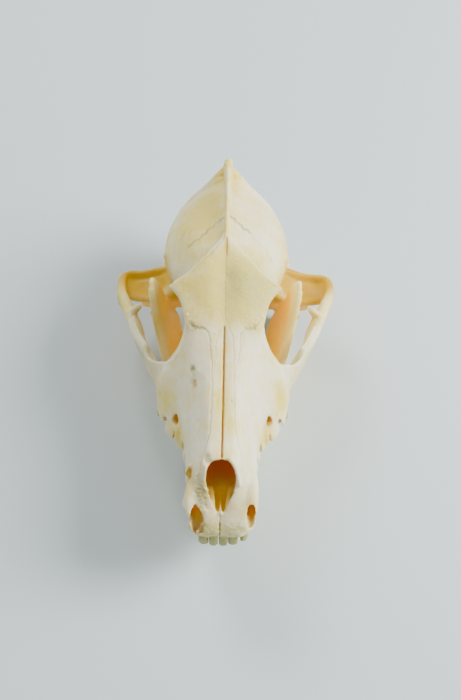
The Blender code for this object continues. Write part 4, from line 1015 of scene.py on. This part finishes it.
for side, flip in SIDES:
    jaw = mesh_object("skull_jaw_" + side, [flip(grid) for grid in jaw_solid])
    fuse(jaw, JAW_VOXEL)
    hollows = mesh_object("hollows", [flip(grid) for grid in jaw_hollow])
    fuse(hollows, JAW_VOXEL)
    cut(jaw, hollows)
    fuse(jaw, JAW_VOXEL)
    soften(jaw, 0.5, 7)
    points = points_of(jaw.data)
    ripple = 0.10 * rippled(points, 4.0) + 0.05 * rippled(points + 70, 1.8)
    put_points(jaw.data, points - normals_of(jaw.data) * ripple[:, None])
    thin_faces(jaw, JAW_TRIANGLES)
    cut(jaw, table_below())
    for kind in ("seam", "pale"):
        put_values(jaw.data, kind, np.zeros(len(jaw.data.vertices)))
    # Painted shade in the jaw's hollows, weaker than on the cranium.
    put_values(jaw.data, "deep", 0.7 * sunkenness(jaw.data))
    paint_stains_and_light(jaw.data, JAW_STAINS_AND_PAINTED_LIGHT)
    stand_up(jaw)
    jaw.data.materials.clear()
    jaw.data.materials.append(jaw_bone)
    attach(jaw, "root")
    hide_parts("lower_jaw_" + side)

# ------------------------------------------------------------
# Teeth: each one that is left is a piece of its own in its socket. Enamel crowns, pale and a little
# green, on yellow roots. The canines and the upper premolars are lost, and their sockets are empty.
# ------------------------------------------------------------

# Each as (name, x, y, z of the neck, crown height, length along the row, width across it, root
# depth, the row's turn from straight back towards the side in degrees, forward slant, cusps),
# where a cusp is (place along the tooth from -1 to 1, share of the height).
INCISOR = [(-1, 0.86), (-0.5, 0.96), (0, 1), (0.5, 0.96), (1, 0.86)]
PREMOLAR = [(-1, 0.16), (-0.1, 1), (0.5, 0.42), (1, 0.2)]
CARNASSIAL = [(-1, 0.4), (-0.5, 0.74), (-0.3, 0.6), (0.1, 1), (0.45, 0.4), (1, 0.36)]
MOLAR = [(-1, 0.6), (-0.45, 1), (0, 0.6), (0.45, 0.9), (1, 0.5)]
UPPER_TEETH = [
    ("upper_incisor_1", 2, -92.5, -1.4, 5.8, 3.6, 3.4, 4.4, 88, 0.26, INCISOR),
    ("upper_incisor_2", 6.1, -91.9, -1.4, 5.8, 4.1, 3.6, 4.4, 80, 0.24, INCISOR),
    ("upper_incisor_3", 10.4, -90.3, -1.6, 5.2, 3.2, 3.2, 3.6, 62, 0.24, INCISOR),
    ("upper_molar_1", 23.2, -25, 0.2, 5, 11, 11.6, 3.6, -12, 0, MOLAR),
    ("upper_molar_2", 22.6, -15.6, 2.2, 4, 5.6, 7.6, 3.4, -12, 0, MOLAR),
]
LOWER_TEETH = [
    ("lower_incisor_1", 1.7, -83.6, -8.8, 3.8, 2.2, 3, 3.6, 84, 0.2, INCISOR),
    ("lower_incisor_2", 4.3, -83, -8.6, 4, 2.3, 3, 3.6, 70, 0.2, INCISOR),
    ("lower_incisor_3", 6.9, -81.6, -8.4, 4.2, 2.4, 3.2, 3.4, 54, 0.2, INCISOR),
    ("lower_premolar_2", 7.2, -65, -8.8, 4.4, 8, 3.6, 4.6, 13, 0, PREMOLAR),
    ("lower_premolar_3", 9.8, -55.4, -9.4, 4.8, 8.8, 3.8, 4.8, 13, 0, PREMOLAR),
    ("lower_premolar_4", 12.1, -44.6, -9.6, 5.8, 9.8, 4.4, 5, 12, 0, PREMOLAR),
    ("lower_molar_1", 15.4, -29.6, -9.2, 7.6, 17, 6, 5.6, 13, 0, CARNASSIAL),
    ("lower_molar_2", 18.9, -16, -8.4, 3.6, 7.6, 5.4, 4.4, 13, 0, MOLAR),
    ("lower_molar_3", 20.5, -9, -8, 2.2, 4, 3.8, 3.4, 12, 0, MOLAR),
]
LOST_TEETH = ("upper_incisor_3_right",)
TOOTH_SIDES = 40
INCISOR_SHIFT = -0.5


def tooth_grid(tooth, crown_way):
    """A rounded-box outline carried from the root's tip to the cusps. Each level scales the
    outline's length and width, and the crown's upper levels follow the cusps' heights."""
    x, y, z, height, length, width, root, turn, slant, cusps = tooth[1:]
    a = math.radians(turn)
    along, across = np.array((math.sin(a), math.cos(a))), np.array((math.cos(a), -math.sin(a)))
    angle = (np.arange(TOOTH_SIDES) + 0.5) * 2 * math.pi / TOOTH_SIDES
    boxy = 0.55 if cusps is INCISOR else 0.8
    place = np.sign(np.cos(angle)) * np.abs(np.cos(angle)) ** boxy
    side = np.sign(np.sin(angle)) * np.abs(np.sin(angle)) ** boxy
    places, shares = zip(*cusps)
    cusp = np.interp(place, places, shares) * height
    narrow = 0.74 if cusps is MOLAR else 0.34
    long_top = 0.98 if cusps is INCISOR else 0.86
    flat = np.ones(TOOTH_SIDES)
    known = np.array([np.stack(level, 1) for level in (
        (flat * -root, flat * 0.5, flat * 0.5),
        (flat * -root * 0.4, flat * 0.84, flat * 0.84),
        (flat * height * 0.06, flat * 0.92, flat * 0.92),
        (cusp * 0.3, flat, flat),
        (cusp * 0.7, flat * (1 + long_top) / 2, flat * (1 + narrow) / 2),
        (cusp, flat * long_top, flat * narrow),
    )])
    level, long_share, wide_share = np.moveaxis(smooth_path(known, 5), 2, 0)
    u, v = place * length / 2 * long_share, side * width / 2 * wide_share
    flat_place = np.array((x, y)) + u[..., None] * along + v[..., None] * across
    flat_place[..., 1] -= slant * level
    return np.concatenate([flat_place, (z + crown_way * level)[..., None]], axis=2)


def enamel_material():
    made, tree, shader = new_material("enamel")
    where = in_millimetres(tree)
    clouds = ranged(tree, cloudy(tree, where, 0.6, 4), 0.35, 0.7)
    crown = blended(tree, clouds, (0.44, 0.46, 0.15, 1), (0.30, 0.22, 0.05, 1))
    stored = add(tree, "ShaderNodeAttribute", attribute_name="root")
    colour = blended(tree, stored.outputs["Fac"], crown, (0.60, 0.38, 0.12, 1))
    tree.links.new(colour, shader.inputs["Base Color"])
    tree.links.new(ranged(tree, clouds, 0, 1, 0.22, 0.38), shader.inputs["Roughness"])
    set_inputs(shader, {
        "Subsurface Weight": 0.3, "Subsurface Radius": (1.0, 0.7, 0.4), "Subsurface Scale": 0.0008,
    })
    return made


enamel = enamel_material()
for crown_way, row in ((-1, UPPER_TEETH), (1, LOWER_TEETH)):
    for tooth in row:
        for side, flip in SIDES:
            node = tooth[0] + "_" + side
            if node in LOST_TEETH:
                continue
            aside = (INCISOR_SHIFT if node.startswith("upper_incisor") else 0.0, 0, 0)
            piece = mesh_object("skull_" + node, [flip(tooth_grid(tooth, crown_way)) + aside])
            level = (points_of(piece.data)[:, 2] - tooth[3]) * crown_way / tooth[4]
            put_values(piece.data, "root", np.clip(0.35 - level * 2, 0, 1))
            stand_up(piece)
            piece.data.materials.append(enamel)
            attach(piece, "root")
            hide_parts(node)

# ------------------------------------------------------------
# Table, light and camera: a plain pale surface, a large soft light on each side, and the camera
# above and before the nose, as the photograph was taken.
# ------------------------------------------------------------
floor_mesh = bpy.data.meshes.new("floor")
FLOOR_REACH = 3.0
corners = [(x * FLOOR_REACH, y * FLOOR_REACH, 0) for x, y in ((-1, -1), (1, -1), (1, 1), (-1, 1))]
floor_mesh.from_pydata(corners, [], [(0, 1, 2, 3)])
floor = bpy.data.objects.new("floor", floor_mesh)
bpy.context.scene.collection.objects.link(floor)
paper, _, paper_shader = new_material("pale_paper")
set_inputs(paper_shader, {"Base Color": (0.55, 0.635, 0.65, 1), "Roughness": 0.9})
floor_mesh.materials.append(paper)

sky = bpy.data.worlds.new("soft_room")
sky.use_nodes = True
sky.node_tree.nodes["Background"].inputs[0].default_value = (0.95, 0.97, 1.0, 1)
sky.node_tree.nodes["Background"].inputs[1].default_value = 0.5
bpy.context.scene.world = sky


def soft_light(name, place, aim, size, power, colour):
    lamp = bpy.data.objects.new(name, bpy.data.lights.new(name, "AREA"))
    lamp.data.shape = "SQUARE"
    lamp.data.size = size
    lamp.data.energy = power
    lamp.data.color = colour
    turn = (Vector(aim) - Vector(place)).to_track_quat("-Z", "Y")
    lamp.matrix_world = Matrix.Translation(place) @ turn.to_matrix().to_4x4()
    bpy.context.scene.collection.objects.link(lamp)


MIDDLE = (0, 0, 0.04)
soft_light("right_softbox", (0.80, 0.05, 0.62), MIDDLE, 0.5, 22.0, (1.0, 0.99, 0.97))
soft_light("left_softbox", (-0.45, 0.75, 0.9), MIDDLE, 0.5, 11.0, (1.0, 1.0, 1.0))

# The camera looks down at 45 degrees to the palate from 600 mm away, and is rolled a little.
CAMERA_TILT = math.radians(45)
CAMERA_DISTANCE = 0.600
CAMERA_ROLL = math.radians(1.35)
FRAME_HEIGHT = 700
FOCAL_PIXELS = 1313
SHIFT_PIXELS = (7.0, 20.5)
camera = bpy.data.objects.new("camera", bpy.data.cameras.new("camera"))
bpy.context.scene.collection.objects.link(camera)
bpy.context.scene.camera = camera
camera.data.lens = camera.data.sensor_width * FOCAL_PIXELS / FRAME_HEIGHT
camera.data.clip_start = 0.01
camera.data.shift_x, camera.data.shift_y = (pixels / FRAME_HEIGHT for pixels in SHIFT_PIXELS)
back = Vector((0, -math.sin(CAMERA_TILT), math.cos(CAMERA_TILT)))
right = Vector((1, 0, 0))
aim = Matrix((right, back.cross(right), back)).transposed().to_4x4()
stood = Matrix.Translation(Vector(STANCE.tolist()) / 1000) @ Matrix.Rotation(-NOSE_UP, 4, "X")
rolled = aim @ Matrix.Rotation(CAMERA_ROLL, 4, "Z")
camera.matrix_world = stood @ Matrix.Translation(back * CAMERA_DISTANCE) @ rolled
